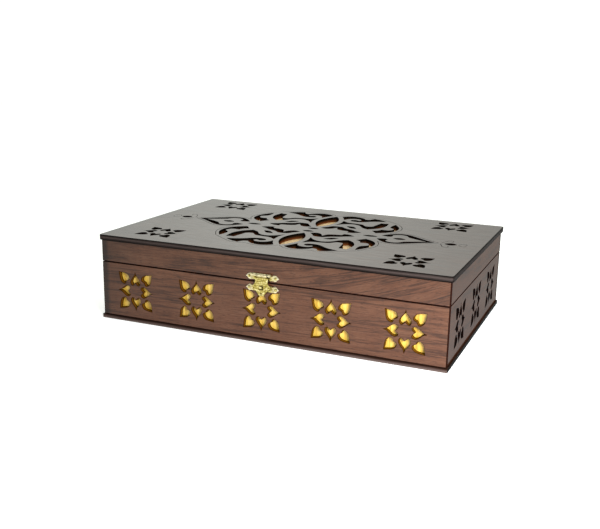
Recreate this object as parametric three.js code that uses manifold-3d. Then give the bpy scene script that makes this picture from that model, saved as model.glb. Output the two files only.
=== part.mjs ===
// Hinged casket of veneered board with pierced walls, a pierced medallion lid and a small brass hasp.
// Millimetres, +Z up, +X to the right, the front faces -Y.
// The origin is the bottom centre of the foot plate.
import * as THREE from 'three';
import { mergeVertices } from 'three/addons/utils/BufferGeometryUtils.js';
import Module from 'manifold-3d';

const wasm = await Module();
wasm.setup();

// Driving dimensions of the carcase
const carcaseWidth = 296.4;       // across the outer faces of the side boards
const carcaseDepth = 191.4;       // across the outer faces of the front and back boards
const wallThickness = 3.4;        // 3 mm board with veneer on both faces
const footThickness = 3.4;
const footOverhang = 1.3;
const lidPlateThickness = 4.6;    // 4 mm board with veneer on both faces
const lidOverhang = 1.8;
const lidRailHeight = 18;
const seamGap = 0.5;              // between the base boards and the lid rails
const glueLine = 0.1;             // every glued joint
const fitClearance = 0.3;         // loose fits, and anything that moves past its neighbour

// Driving dimensions of the linings
const liningThickness = 1;
const liningDrop = 1;             // wall linings stop this far below the rim
const backingThickness = 2;

// Driving dimensions of the pierced rosettes
const rosetteReach = 16.6;        // centre to the tips of the upright petals
const diagonalReach = 22.3;       // centre to the tips of the diagonal petals
const rosetteMargin = 6.3;        // rosette to the upper and lower edge of a base board
const rosettePitch = 58.1;
const rosetteEndMargin = 30;      // least distance from a board's end to a rosette's centre
const cornerRosetteInsetX = 41.2; // lid plate's edge to the centre of a corner rosette
const cornerRosetteInsetY = 27.9;
const lidPatternSetback = 2.6;    // the lid's whole pattern lies this far behind the plate's middle

// Driving dimensions of the medallion
const medallionEndMargin = 39.6;  // lid plate's edge to the tips of the medallion's end leaves
const medallionSideMargin = 24.7; // lid plate's edge to the front and back of the medallion

// Driving dimensions of the hasp
const haspOffCentre = 1;          // nailed on a little to the right
const sheetThickness = 0.6;
const haspPinRadius = 0.55;
const haspKnuckleWall = 0.5;
const haspPinAboveSeam = 6;
const haspPinLength = 15.6;
const flapKnuckleLength = 8.6;
const haspWingReach = 14.4;       // centre to the tip of a wing
const haspNailReach = 11.4;
const wingHalfHeight = 2.6;       // at the lobe round the nail
const wingNeckHeight = 1.6;       // wing line to the notch between the lobe and the plate
const wingRootReach = 8.6;        // centre to that notch
const wingLobeLength = 1.3;       // from the notch to the full height
const wingTipLength = 2.6;        // from the full height to the tip
const wingTipHalfHeight = 0.9;    // where the flanks turn out into the tip
const haspBodyHalfWidth = 7.2;
const hingePlateAboveSeam = 4.1;  // seam to the middle line of the wings
const catchPlateBelowSeam = 5;
const flapLength = 16.8;          // pin axis to the flap's tip
const flapTopHalfWidth = 6.3;
const flapWaistHalfWidth = 5.4;
const flapWaistLength = 2.6;
const flapLobeHalfWidth = 8;
const flapLobeAboveSlot = 0.9;    // widest place of the flap over the middle of its slot
const flapLobeLength = 2.2;       // from there down to where the taper starts
const flapTaperLength = 1.8;
const flapTaperHalfWidth = 4.3;   // at the taper's lower end
const flapTongueLength = 1.4;     // blunt end of the flap
const flapTongueHalfWidth = 2.8;
const flapTipHalfWidth = 1.8;
const flapHoleRadius = 0.6;
const flapHoleMargin = 1.9;       // tip to the centre of that hole
const slotHalfWidth = 1.7;
const slotHalfHeight = 1.7;
const slotAboveWings = 0.9;       // middle of the slot over the middle line of the lower wings
const hookWidth = 2.2;
const hookReach = 1.4;            // past the front of the flap
const hookThickness = 0.8;
const hookNose = 1;

// Driving dimensions of the butt hinges
const leafWidth = 22;
const leafHeight = 9;
const leafThickness = 0.8;
const hingePinRadius = 0.75;
const hingeKnuckleWall = 0.45;
const middleKnuckleLength = 8;
const stopHeelHeight = 0.8;       // rib that meets the base leaf when the lid is fully open
const stopHeelRoot = 0.45;        // half its thickness at the knuckle
const stopHeelTip = 0.12;         // half its thickness at the tip
const stopHeelSpare = 4;          // degrees between full travel and contact
const leafNailSpacing = 14;
const lidOpenAngle = 110;         // degrees

// Driving dimensions of the nails
const nailRadius = 0.5;
const nailHeadRadius = 1.15;
const nailHeadHeight = 0.55;
const nailTipGap = 0.5;           // nail's point to the inner face of its board

const joinLap = 0.5;              // how far two solids of one piece run into each other
const cutterSpare = 2;            // cutters stand out this far in all

// Levels and faces
const baseWallHeight = 2 * (rosetteReach + rosetteMargin);
const wallBottom = footThickness + glueLine;
const wallTop = wallBottom + baseWallHeight;
const seam = wallTop + seamGap / 2;
const railBottom = wallTop + seamGap;
const railTop = railBottom + lidRailHeight;
const plateBottom = railTop + glueLine;
const frontFace = -carcaseDepth / 2;
const backFace = carcaseDepth / 2;
const sideFace = carcaseWidth / 2;
const sideBoardLength = carcaseDepth - 2 * (wallThickness + glueLine);
const lidWidth = carcaseWidth + 2 * lidOverhang;
const lidDepth = carcaseDepth + 2 * lidOverhang;
const innerWidth = carcaseWidth - 2 * wallThickness;
const innerDepth = carcaseDepth - 2 * wallThickness;

// Finishes
const finishes = {
  veneer: { color: 0x6b4a3a, roughness: 0.35, metalness: 0 },
  lining: { color: 0xe0b93a, roughness: 0.4, metalness: 0.3 },
  board: { color: 0xc9a97c, roughness: 0.8, metalness: 0 },
  brass: { color: 0xd2c17a, roughness: 0.3, metalness: 1 },
};

function addPiece(group, name, geometry, finish, x = 0, y = 0, z = 0) {
  const piece = new THREE.Mesh(geometry, new THREE.MeshStandardMaterial(finishes[finish]));
  piece.name = name;
  piece.position.set(x, y, z);
  group.add(piece);
  return piece;
}

// Solids for joining and cutting
function toSolid(geometry) {
  geometry.deleteAttribute('normal');
  geometry.deleteAttribute('uv');
  const merged = mergeVertices(geometry);
  const vertProperties = new Float32Array(merged.attributes.position.array);
  const triVerts = new Uint32Array(merged.index.array);
  return new wasm.Manifold(new wasm.Mesh({ numProp: 3, vertProperties, triVerts }));
}

function toGeometry(solid) {
  const mesh = solid.getMesh();
  const geometry = new THREE.BufferGeometry();
  geometry.setAttribute('position', new THREE.BufferAttribute(new Float32Array(mesh.vertProperties), 3));
  geometry.setIndex(new THREE.BufferAttribute(new Uint32Array(mesh.triVerts), 1));
  geometry.computeVertexNormals();
  return geometry;
}

// Outlines
function rectangle(width, height) {
  const shape = new THREE.Shape();
  shape.moveTo(-width / 2, -height / 2);
  shape.lineTo(width / 2, -height / 2);
  shape.lineTo(width / 2, height / 2);
  shape.lineTo(-width / 2, height / 2);
  shape.closePath();
  return shape;
}

function roundHole(x, y, radius, sides = 8) {
  const points = [];
  for (let i = 0; i < sides; i += 1) {
    const angle = (2 * Math.PI * (i + 0.5)) / sides;
    points.push(new THREE.Vector2(x + radius * Math.cos(angle), y + radius * Math.sin(angle)));
  }
  return new THREE.Path(points);
}

function extrude(shape, depth) {
  return new THREE.ExtrudeGeometry(shape, { depth, bevelEnabled: false });
}

// Half of each heart-shaped petal as [distance in from its tip, half width], from the tip to the notch
const uprightPetal = [[0, 0], [2.7, 0.8], [4.8, 2.5], [7.4, 4.3], [9.4, 4.6], [11.3, 3.4], [11, 2], [9, 0]];
const diagonalPetal = [[0, 0], [2.1, 1.6], [5.1, 3.7], [7.5, 4.45], [9.9, 3.9], [11, 2.6], [10.1, 0]];

// One petal's cut, its tip pointing away from the rosette's centre
function petal(centre, angle, reach, half) {
  const place = ([inward, side]) =>
    new THREE.Vector2(reach - inward, side).rotateAround(new THREE.Vector2(), angle).add(centre);
  const other = half.slice(1, -1).map(([inward, side]) => [inward, -side]).reverse();
  return new THREE.Path([...half, ...other].map(place));
}

function rosetteCuts(x, y) {
  const centre = new THREE.Vector2(x, y);
  const quarters = [0, 1, 2, 3].map((i) => (i * Math.PI) / 2);
  return quarters.flatMap((angle) => [
    petal(centre, angle, rosetteReach, uprightPetal),
    petal(centre, angle + Math.PI / 4, diagonalReach, diagonalPetal),
  ]);
}

function rosettePlaces(boardLength) {
  const gaps = Math.floor((boardLength - 2 * rosetteEndMargin) / rosettePitch);
  return Array.from({ length: gaps + 1 }, (_, i) => (i - gaps / 2) * rosettePitch);
}

// The medallion is drawn below about its own centre, and then fitted to the lid's margins.
// A cut is a ring of strokes. Each stroke is a smooth curve through its points, with a corner at each end.
function strokes(...lines) {
  return lines.flatMap((line) => {
    const points = line.map(([x, y]) => new THREE.Vector2(x, y));
    if (points.length === 2) return [points[0]];
    const steps = Math.round((points.length - 1) * 1.6);
    return new THREE.SplineCurve(points).getPoints(steps).slice(0, -1);
  });
}

function lens(x, y, halfLength, halfWidth, steps = 4) {
  const points = [];
  for (const side of [1, -1]) {
    for (let i = 0; i < steps; i += 1) {
      const along = side * (1 - (2 * i) / steps);
      const across = side * halfWidth * (1 - along * along);
      points.push(new THREE.Vector2(x + halfLength * along, y + across));
    }
  }
  return points;
}

const turned = (points) => points.map((p) => new THREE.Vector2(p.y, p.x));

// Cuts that stand once in each quarter
const quarterCuts = {
  outerCrescent: strokes(
    [[55, 12.8], [62.3, 18], [67, 25], [68.4, 33.5], [66.8, 43], [60.4, 54.6]],
    [[60.4, 54.6], [59.2, 47.5], [59.8, 40.5], [64.6, 35], [62, 28.6], [55.4, 28.4]],
    [[55.4, 28.4], [53.4, 23.6], [49.2, 20.6]],
    [[49.2, 20.6], [55, 12.8]]),
  innerScroll: strokes(
    [[43.6, 24], [50.4, 31], [54.4, 42], [53.2, 56.4]],
    [[53.2, 56.4], [50, 55], [46.6, 55]],
    [[46.6, 55], [45, 44], [43.6, 37.4], [38, 36], [33, 41.4], [25.4, 43], [18.6, 44.2], [12.6, 49]],
    [[12.6, 49], [13.4, 38], [11.8, 28.4]],
    [[11.8, 28.4], [17.4, 35.4], [25, 38.8], [32, 36], [37.6, 28.4], [43.6, 24]]),
  spiral: strokes(
    [[49, 63.4], [42, 68.6], [35, 71.4]],
    [[35, 71.4], [32.4, 66], [28.4, 64.6]],
    [[28.4, 64.6], [25.4, 68.4], [21, 71.4], [14.6, 72.8], [8.4, 70.6], [4.8, 67]],
    [[4.8, 67], [8.2, 60.6], [11, 54]],
    [[11, 54], [13.2, 59.6], [18, 62.8], [23.6, 62.2], [26.2, 58.8], [24.4, 56.6]],
    [[24.4, 56.6], [20.4, 58.4], [17.2, 55.4], [19, 51.8], [24, 50.8],
      [29.6, 52.6], [38.6, 59.4], [49, 63.4]]),
  strapEye: strokes(
    [[34.2, 21.6], [28.6, 22], [22.8, 28.6]],
    [[22.8, 28.6], [29.4, 28.4], [34.2, 21.6]]),
  starBand: strokes(
    [[43.4, 8.6], [37, 12], [32.4, 15.6], [25.8, 18.6], [20.6, 23.4]],
    [[20.6, 23.4], [12.6, 23], [8.4, 17], [4.6, 12.4]],
    [[4.6, 12.4], [10, 9.8], [14.6, 12.6], [18.2, 18.8]],
    [[18.2, 18.8], [20, 12.4], [25.4, 9.4], [31.6, 8.2], [32.4, 3.8]],
    [[32.4, 3.8], [37.6, 4.4], [43.4, 8.6]]),
};

// Half of the end leaf's cut: its outside as far as the tip, then the trefoil left standing in it
const endLeafTip = [110, 0];
const endLeafOutside = strokes(
  [[62.4, 6.4], [67, 13], [74.6, 18.6], [83.4, 18], [93, 11.6], [102, 4.8], endLeafTip]);
const endLeafTrefoil = strokes(
  [[103, 0], [95, 3.6], [86, 8.6]],
  [[86, 8.6], [82.4, 13.8], [76.2, 15], [71.4, 11.6], [71.6, 6.4], [69, 4.4]],
  [[69, 4.4], [62.4, 6.4]]);

// Pointed slots as [distance from the centre, half length, half width]
const slotsAlongLength = [[54.4, 6.6, 2.6], [80, 5.4, 3], [124, 4.6, 2.4]];
const vesica = [39.8, 25, 8.7];
const centreSlot = [5.8, 5.2, 2.6];

function medallionCuts() {
  const drawnDepth = Math.max(...quarterCuts.spiral.map((p) => p.y));
  const medallionScale = new THREE.Vector2(
    (lidWidth / 2 - medallionEndMargin) / endLeafTip[0],
    (lidDepth / 2 - medallionSideMargin) / drawnDepth);
  const centre = new THREE.Vector2(0, lidPatternSetback);
  const place = (points, sx, sy) => new THREE.Path(
    points.map((p) => new THREE.Vector2(p.x * sx, p.y * sy).multiply(medallionScale).add(centre)));
  const cuts = [];
  for (const sx of [1, -1]) {
    for (const sy of [1, -1]) {
      for (const points of Object.values(quarterCuts)) cuts.push(place(points, sx, sy));
    }
    // the two halves of the end leaf meet at its tip
    const tip = new THREE.Vector2(...endLeafTip);
    const mirrored = (points) => points.map((p) => new THREE.Vector2(p.x, -p.y)).reverse();
    cuts.push(place([
      ...endLeafOutside, tip, ...mirrored(endLeafOutside),
      ...mirrored(endLeafTrefoil), ...endLeafTrefoil.slice(1),
    ], sx, 1));
    for (const [reach, length, width] of slotsAlongLength) {
      cuts.push(place(lens(reach, 0, length, width), sx, 1));
    }
  }
  const [vesicaReach, vesicaLength, vesicaWidth] = vesica;
  const [centreSlotReach, centreSlotLength, centreSlotWidth] = centreSlot;
  for (const sy of [1, -1]) {
    cuts.push(place(turned(lens(vesicaReach, 0, vesicaLength, vesicaWidth, 8)), 1, sy));
    cuts.push(place(lens(0, centreSlotReach, centreSlotLength, centreSlotWidth), 1, sy));
  }
  return cuts;
}

// Boards
function piercedBoard(length, height, cuts) {
  const shape = rectangle(length, height);
  shape.holes.push(...cuts);
  return extrude(shape, wallThickness);
}

function addFrontOrBack(group, name, geometry, facing, z) {
  const y = facing < 0 ? frontFace + wallThickness : backFace;
  const piece = addPiece(group, name, geometry, 'veneer', 0, y, z);
  piece.rotation.x = Math.PI / 2;
}

function addSide(group, name, geometry, lowX, z) {
  const piece = addPiece(group, name, geometry, 'veneer', lowX, 0, z);
  piece.rotation.set(Math.PI / 2, Math.PI / 2, 0);
}

const wallMiddle = wallBottom + baseWallHeight / 2;
const railMiddle = railBottom + lidRailHeight / 2;
const longRosettes = rosettePlaces(carcaseWidth);
const hingeX = (longRosettes[longRosettes.length - 1] + longRosettes[longRosettes.length - 2]) / 2;
const nailHoleRadius = nailRadius + fitClearance;
const haspNails = [haspOffCentre - haspNailReach, haspOffCentre + haspNailReach];
const hingeNails = [-hingeX, hingeX].flatMap((x) => [x - leafNailSpacing / 2, x + leafNailSpacing / 2]);
const hingeKnuckleRadius = hingePinRadius + fitClearance + hingeKnuckleWall;
const hingePinOut = hingeKnuckleRadius + fitClearance;
const leafInner = hingeKnuckleRadius + fitClearance;  // from the axis to the near edge of a leaf
const leafNailDrop = leafInner + leafHeight / 2;

function baseBoards(group) {
  const rosettes = longRosettes.flatMap((x) => rosetteCuts(x, 0));
  const catchNailHeight = seam - catchPlateBelowSeam - wallMiddle;
  const catchHoles = haspNails.map((x) => roundHole(x, catchNailHeight, nailHoleRadius));
  const leafHoles = hingeNails.map((x) => roundHole(x, seam - leafNailDrop - wallMiddle, nailHoleRadius));
  const front = piercedBoard(carcaseWidth, baseWallHeight, [...rosettes, ...catchHoles]);
  const back = piercedBoard(carcaseWidth, baseWallHeight, [...rosettes, ...leafHoles]);
  addFrontOrBack(group, 'base_front_board', front, -1, wallMiddle);
  addFrontOrBack(group, 'base_back_board', back, 1, wallMiddle);
  const sideCuts = rosettePlaces(sideBoardLength).flatMap((x) => rosetteCuts(x, 0));
  const side = () => piercedBoard(sideBoardLength, baseWallHeight, sideCuts);
  addSide(group, 'base_left_board', side(), -sideFace, wallMiddle);
  addSide(group, 'base_right_board', side(), sideFace - wallThickness, wallMiddle);
  const footWidth = carcaseWidth + 2 * footOverhang;
  const footDepth = carcaseDepth + 2 * footOverhang;
  const foot = new THREE.BoxGeometry(footWidth, footDepth, footThickness);
  addPiece(group, 'foot_plate', foot, 'veneer', 0, 0, footThickness / 2);
}

function linings(group) {
  const gap = glueLine;
  const floorWidth = innerWidth - 2 * fitClearance;
  const floorDepth = innerDepth - 2 * fitClearance;
  const floor = new THREE.BoxGeometry(floorWidth, floorDepth, liningThickness);
  const floorTop = footThickness + gap + liningThickness;
  addPiece(group, 'floor_lining', floor, 'lining', 0, 0, floorTop - liningThickness / 2);
  const low = floorTop + gap;
  const high = wallTop - liningDrop;
  const height = high - low;
  const middle = (low + high) / 2;
  const longY = innerDepth / 2 - gap - liningThickness / 2;
  const long = () => new THREE.BoxGeometry(innerWidth - 2 * fitClearance, liningThickness, height);
  addPiece(group, 'front_lining', long(), 'lining', 0, -longY, middle);
  addPiece(group, 'back_lining', long(), 'lining', 0, longY, middle);
  const shortDepth = innerDepth - 2 * (gap + liningThickness + fitClearance);
  const shortX = innerWidth / 2 - gap - liningThickness / 2;
  const short = () => new THREE.BoxGeometry(liningThickness, shortDepth, height);
  addPiece(group, 'left_lining', short(), 'lining', -shortX, 0, middle);
  addPiece(group, 'right_lining', short(), 'lining', shortX, 0, middle);
}

function lidBoards(group) {
  const hingePlateHoles = haspNails.map((x) =>
    roundHole(x, seam + hingePlateAboveSeam - railMiddle, nailHoleRadius));
  const leafHoles = hingeNails.map((x) => roundHole(x, seam + leafNailDrop - railMiddle, nailHoleRadius));
  const front = piercedBoard(carcaseWidth, lidRailHeight, hingePlateHoles);
  const back = piercedBoard(carcaseWidth, lidRailHeight, leafHoles);
  addFrontOrBack(group, 'lid_front_rail', front, -1, railMiddle);
  addFrontOrBack(group, 'lid_back_rail', back, 1, railMiddle);
  for (const [name, x] of [['lid_left_rail', -1], ['lid_right_rail', 1]]) {
    const rail = new THREE.BoxGeometry(wallThickness, sideBoardLength, lidRailHeight);
    addPiece(group, name, rail, 'veneer', x * (sideFace - wallThickness / 2), 0, railMiddle);
  }
  const plate = rectangle(lidWidth, lidDepth);
  const cornerX = lidWidth / 2 - cornerRosetteInsetX;
  const cornerY = lidDepth / 2 - cornerRosetteInsetY;
  for (const x of [-cornerX, cornerX]) {
    for (const y of [-cornerY, cornerY]) plate.holes.push(...rosetteCuts(x, y + lidPatternSetback));
  }
  plate.holes.push(...medallionCuts());
  addPiece(group, 'lid_plate', extrude(plate, lidPlateThickness), 'veneer', 0, 0, plateBottom);
  const backing = new THREE.BoxGeometry(
    innerWidth - 2 * fitClearance, innerDepth - 2 * fitClearance, backingThickness);
  addPiece(group, 'lid_backing', backing, 'board', 0, 0, plateBottom - glueLine - backingThickness / 2);
}

// Nails stand head up along +Y with the underside of the head at y = 0
function nail(length) {
  const profile = [
    [0, -length], [nailRadius, -length + 2 * nailRadius], [nailRadius, 0], [nailHeadRadius, 0],
    [nailHeadRadius * 0.75, nailHeadHeight * 0.7], [0, nailHeadHeight],
  ].map(([radius, y]) => new THREE.Vector2(radius, y));
  return new THREE.LatheGeometry(profile, 8);
}

function addNail(group, name, x, z, facing, sheet) {
  const length = sheet + glueLine + wallThickness - nailTipGap;
  const face = facing < 0 ? frontFace : backFace;
  const y = face + facing * (sheet + 2 * glueLine);
  const piece = addPiece(group, name, nail(length), 'brass', x, y, z);
  if (facing < 0) piece.rotation.z = Math.PI;
}

// A rod along X, centred at x
function rod(radius, length, x = 0, sides = 16) {
  const geometry = new THREE.CylinderGeometry(radius, radius, length, sides);
  geometry.rotateZ(Math.PI / 2);
  geometry.translate(x, 0, 0);
  return geometry;
}

// Hasp
const haspKnuckleRadius = haspPinRadius + fitClearance + haspKnuckleWall;
const haspPinOut = haspKnuckleRadius + glueLine;
const haspPinZ = seam + haspPinAboveSeam;
const haspPinY = frontFace - haspPinOut;
const knuckleBore = haspPinRadius + fitClearance;
const outerKnuckleStart = flapKnuckleLength / 2 + fitClearance;
const outerKnuckleEnd = haspPinLength / 2;

// One pointed wing, from its upper notch round its tip to the plate's lower edge
function wing(side) {
  const flank = [
    [wingRootReach + wingLobeLength, wingHalfHeight],
    [haspWingReach - wingTipLength, wingHalfHeight],
    [haspWingReach - wingTipLength / 2, wingTipHalfHeight],
  ];
  const lower = flank.map(([x, z]) => [x, -z]).reverse();
  const line = [[wingRootReach, wingNeckHeight], ...flank, [haspWingReach, 0], ...lower]
    .map(([x, z]) => new THREE.Vector2(x * side, z));
  return side > 0 ? line : line.reverse();
}

// The plates are drawn about the middle line of their wings and rotated upright
function haspPlate(topHalf, bottomHalf) {
  const mirrored = (half) => half.map(([x, z]) => new THREE.Vector2(-x, z)).reverse();
  const direct = (half) => half.map(([x, z]) => new THREE.Vector2(x, z));
  const shape = new THREE.Shape([
    ...direct(topHalf), ...wing(1), ...direct(bottomHalf), ...mirrored(bottomHalf),
    ...wing(-1), ...mirrored(topHalf),
  ]);
  for (const x of [-haspNailReach, haspNailReach]) shape.holes.push(roundHole(x, 0, nailHoleRadius));
  const geometry = extrude(shape, sheetThickness);
  geometry.rotateX(Math.PI / 2);
  return geometry;
}

function haspHingePlate(group) {
  const wingLine = seam + hingePlateAboveSeam;
  const pinAboveWings = haspPinZ - wingLine;
  const middleTop = pinAboveWings - haspKnuckleRadius - fitClearance;
  const earTop = pinAboveWings - joinLap;
  const top = [
    [outerKnuckleStart, middleTop], [outerKnuckleStart, earTop],
    [outerKnuckleEnd, earTop], [outerKnuckleEnd, wingNeckHeight],
  ];
  const bottom = [[haspBodyHalfWidth, -wingHalfHeight]];
  const plate = toSolid(haspPlate(top, bottom));
  const length = outerKnuckleEnd - outerKnuckleStart;
  const middle = (outerKnuckleStart + outerKnuckleEnd) / 2;
  const pinY = -(haspPinOut - glueLine);
  let solid = plate;
  for (const x of [-middle, middle]) {
    const knuckle = rod(haspKnuckleRadius, length, x);
    knuckle.translate(0, pinY, pinAboveWings);
    solid = solid.add(toSolid(knuckle));
  }
  const bore = rod(knuckleBore, haspPinLength + cutterSpare);
  bore.translate(0, pinY, pinAboveWings);
  const geometry = toGeometry(solid.subtract(toSolid(bore)));
  addPiece(group, 'hasp_hinge_plate', geometry, 'brass', haspOffCentre, frontFace - glueLine, wingLine);
  const pin = rod(haspPinRadius, haspPinLength);
  addPiece(group, 'hasp_pin', pin, 'brass', haspOffCentre, haspPinY, haspPinZ);
  haspNails.forEach((x, i) =>
    addNail(group, `hasp_hinge_nail_${i + 1}`, x, wingLine, -1, sheetThickness));
}

// The flap's sheet hangs tangent to the front of its knuckle
const flapFront = -haspKnuckleRadius;
const slotMiddle = catchPlateBelowSeam + haspPinAboveSeam - slotAboveWings;  // below the pin axis

function haspCatchPlate(group) {
  const wingLine = seam - catchPlateBelowSeam;
  const top = [[haspBodyHalfWidth, wingHalfHeight]];
  const bottom = [[haspBodyHalfWidth, -wingHalfHeight]];
  const plate = toSolid(haspPlate(top, bottom));
  // the hook is a tongue bent out of the plate, with its nose turned up
  const plateToAxis = haspPinOut - glueLine;
  const reach = plateToAxis - flapFront + hookReach;
  const hookZ = haspPinZ - slotMiddle - wingLine;
  const profile = new THREE.Shape();
  profile.moveTo(sheetThickness / 2, -hookThickness / 2);
  profile.lineTo(reach, -hookThickness / 2);
  profile.lineTo(reach, hookThickness / 2 + hookNose);
  profile.lineTo(reach - hookThickness, hookThickness / 2 + hookNose);
  profile.lineTo(reach - hookThickness, hookThickness / 2);
  profile.lineTo(sheetThickness / 2, hookThickness / 2);
  profile.closePath();
  const hook = extrude(profile, hookWidth);
  hook.translate(0, 0, -hookWidth / 2);
  hook.rotateX(Math.PI / 2);
  hook.rotateZ(-Math.PI / 2);
  hook.translate(0, 0, hookZ);
  const geometry = toGeometry(plate.add(toSolid(hook)));
  addPiece(group, 'hasp_catch_plate', geometry, 'brass', haspOffCentre, frontFace - glueLine, wingLine);
  haspNails.forEach((x, i) =>
    addNail(group, `hasp_catch_nail_${i + 1}`, x, wingLine, -1, sheetThickness));
}

function haspFlap(group) {
  const shoulder = haspKnuckleRadius + fitClearance;
  const lobe = slotMiddle - flapLobeAboveSlot;
  const taperStart = lobe + flapLobeLength;
  const tongue = flapLength - flapTongueLength;
  const waistMiddle = (shoulder + lobe) / 2;
  const half = [
    [flapKnuckleLength / 2, 0],
    [flapKnuckleLength / 2, shoulder],
    [flapTopHalfWidth, shoulder],
    [flapWaistHalfWidth, waistMiddle - flapWaistLength / 2],
    [flapWaistHalfWidth, waistMiddle + flapWaistLength / 2],
    [flapLobeHalfWidth, lobe],
    [(flapLobeHalfWidth + flapTaperHalfWidth) / 2 + fitClearance, taperStart],
    [flapTaperHalfWidth, taperStart + flapTaperLength],
    [flapTongueHalfWidth, tongue],
    [flapTipHalfWidth, flapLength - flapTongueLength / 5],
    [0, flapLength],
  ].map(([x, drop]) => new THREE.Vector2(x, -drop));
  const other = half.slice(0, -1).map((p) => new THREE.Vector2(-p.x, p.y)).reverse();
  const shape = new THREE.Shape([...half, ...other]);
  const slot = [[-1, -1], [1, -1], [1, 1], [-1, 1]].map(([x, z]) =>
    new THREE.Vector2(x * slotHalfWidth, z * slotHalfHeight - slotMiddle));
  shape.holes.push(new THREE.Path(slot));
  shape.holes.push(roundHole(0, flapHoleMargin - flapLength, flapHoleRadius));
  const sheet = extrude(shape, sheetThickness);
  sheet.rotateX(Math.PI / 2);
  sheet.translate(0, flapFront + sheetThickness, 0);
  const solid = toSolid(sheet)
    .add(toSolid(rod(haspKnuckleRadius, flapKnuckleLength)))
    .subtract(toSolid(rod(knuckleBore, flapKnuckleLength + cutterSpare)));
  addPiece(group, 'hasp_flap', toGeometry(solid), 'brass', haspOffCentre, haspPinY, haspPinZ);
}

// Butt hinges with a stop, nailed to the outside of the back
const hingePinY = backFace + hingePinOut;
const hingeBore = hingePinRadius + fitClearance;

// A leaf about its pin axis. Up is +1 for the lid's leaf, -1 for the base's.
function hingeLeaf(up, knuckles) {
  const leafY = -hingePinOut + glueLine;
  const sheet = new THREE.BoxGeometry(leafWidth, leafThickness, leafHeight);
  sheet.translate(0, leafY + leafThickness / 2, up * (leafInner + leafHeight / 2));
  let solid = toSolid(sheet);
  for (const [start, end] of knuckles) {
    const length = end - start;
    const middle = (start + end) / 2;
    const web = new THREE.BoxGeometry(length, leafThickness, leafInner);
    web.translate(middle, leafY + leafThickness / 2, up * (leafInner / 2 + joinLap));
    solid = solid.add(toSolid(web)).add(toSolid(rod(hingeKnuckleRadius, length, middle)));
  }
  solid = solid.subtract(toSolid(rod(hingeBore, leafWidth + cutterSpare)));
  for (const x of [-leafNailSpacing / 2, leafNailSpacing / 2]) {
    const hole = new THREE.CylinderGeometry(
      nailHoleRadius, nailHoleRadius, leafThickness + cutterSpare, 8);
    hole.translate(x, leafY + leafThickness / 2, up * leafNailDrop);
    solid = solid.subtract(toSolid(hole));
  }
  return solid;
}

// The heel is a rib on the lid's knuckle that swings down onto the base leaf at the end of the lid's travel
function stopHeel() {
  const reach = hingeKnuckleRadius + stopHeelHeight;
  const leafFaceY = -hingePinOut + glueLine + leafThickness;
  const contactAngle = Math.PI + Math.acos(-leafFaceY / reach);
  const angle = contactAngle + THREE.MathUtils.degToRad(lidOpenAngle + stopHeelSpare);
  const rootRadius = hingeKnuckleRadius - hingeKnuckleWall / 2;
  const profile = new THREE.Shape();
  profile.moveTo(rootRadius, -stopHeelRoot);
  profile.lineTo(reach, -stopHeelTip);
  profile.lineTo(reach, stopHeelTip);
  profile.lineTo(rootRadius, stopHeelRoot);
  profile.closePath();
  const rib = extrude(profile, middleKnuckleLength);
  rib.translate(0, 0, -middleKnuckleLength / 2);
  rib.rotateZ(angle);
  rib.rotateX(Math.PI / 2);
  rib.rotateZ(Math.PI / 2);
  return toSolid(rib);
}

function hinges(base, lid) {
  const half = middleKnuckleLength / 2;
  const outer = leafWidth / 2;
  const sides = [['left', -hingeX], ['right', hingeX]];
  for (const [side, x] of sides) {
    const baseKnuckles = [[-outer, -half - fitClearance], [half + fitClearance, outer]];
    const baseLeaf = toGeometry(hingeLeaf(-1, baseKnuckles));
    addPiece(base, `${side}_hinge_base_leaf`, baseLeaf, 'brass', x, hingePinY, seam);
    addPiece(base, `${side}_hinge_pin`, rod(hingePinRadius, leafWidth), 'brass', x, hingePinY, seam);
    const lidLeaf = toGeometry(hingeLeaf(1, [[-half, half]]).add(stopHeel()));
    addPiece(lid, `${side}_hinge_lid_leaf`, lidLeaf, 'brass', x, hingePinY, seam);
    [-1, 1].forEach((step, i) => {
      const nailX = x + (step * leafNailSpacing) / 2;
      addNail(base, `${side}_base_leaf_nail_${i + 1}`, nailX, seam - leafNailDrop, 1, leafThickness);
      addNail(lid, `${side}_lid_leaf_nail_${i + 1}`, nailX, seam + leafNailDrop, 1, leafThickness);
    });
  }
}

const casket = new THREE.Group();
const base = new THREE.Group();
const lid = new THREE.Group();
const flap = new THREE.Group();
casket.add(base, lid);
lid.add(flap);

baseBoards(base);
linings(base);
haspCatchPlate(base);
lidBoards(lid);
haspHingePlate(lid);
haspFlap(flap);
hinges(base, lid);

export default casket;
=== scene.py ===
import math

import bpy
from mathutils import Matrix, Vector
from mathutils.geometry import delaunay_2d_cdt


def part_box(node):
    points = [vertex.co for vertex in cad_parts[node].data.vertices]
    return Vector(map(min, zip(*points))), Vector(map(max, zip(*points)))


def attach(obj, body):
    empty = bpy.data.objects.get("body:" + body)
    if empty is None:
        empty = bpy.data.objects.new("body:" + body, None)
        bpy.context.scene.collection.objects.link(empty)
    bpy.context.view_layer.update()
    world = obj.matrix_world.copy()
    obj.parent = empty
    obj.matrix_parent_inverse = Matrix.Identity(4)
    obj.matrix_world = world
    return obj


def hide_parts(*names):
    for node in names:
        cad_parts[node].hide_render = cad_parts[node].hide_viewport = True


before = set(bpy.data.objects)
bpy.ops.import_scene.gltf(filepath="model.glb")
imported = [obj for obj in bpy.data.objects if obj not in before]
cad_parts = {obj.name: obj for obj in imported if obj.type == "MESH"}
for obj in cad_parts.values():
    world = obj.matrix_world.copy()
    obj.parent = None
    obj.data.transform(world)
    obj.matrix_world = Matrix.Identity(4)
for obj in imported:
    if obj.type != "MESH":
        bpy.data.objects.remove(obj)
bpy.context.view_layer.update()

mm = 0.001                        # everything below is written in millimetres and built in metres


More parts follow.
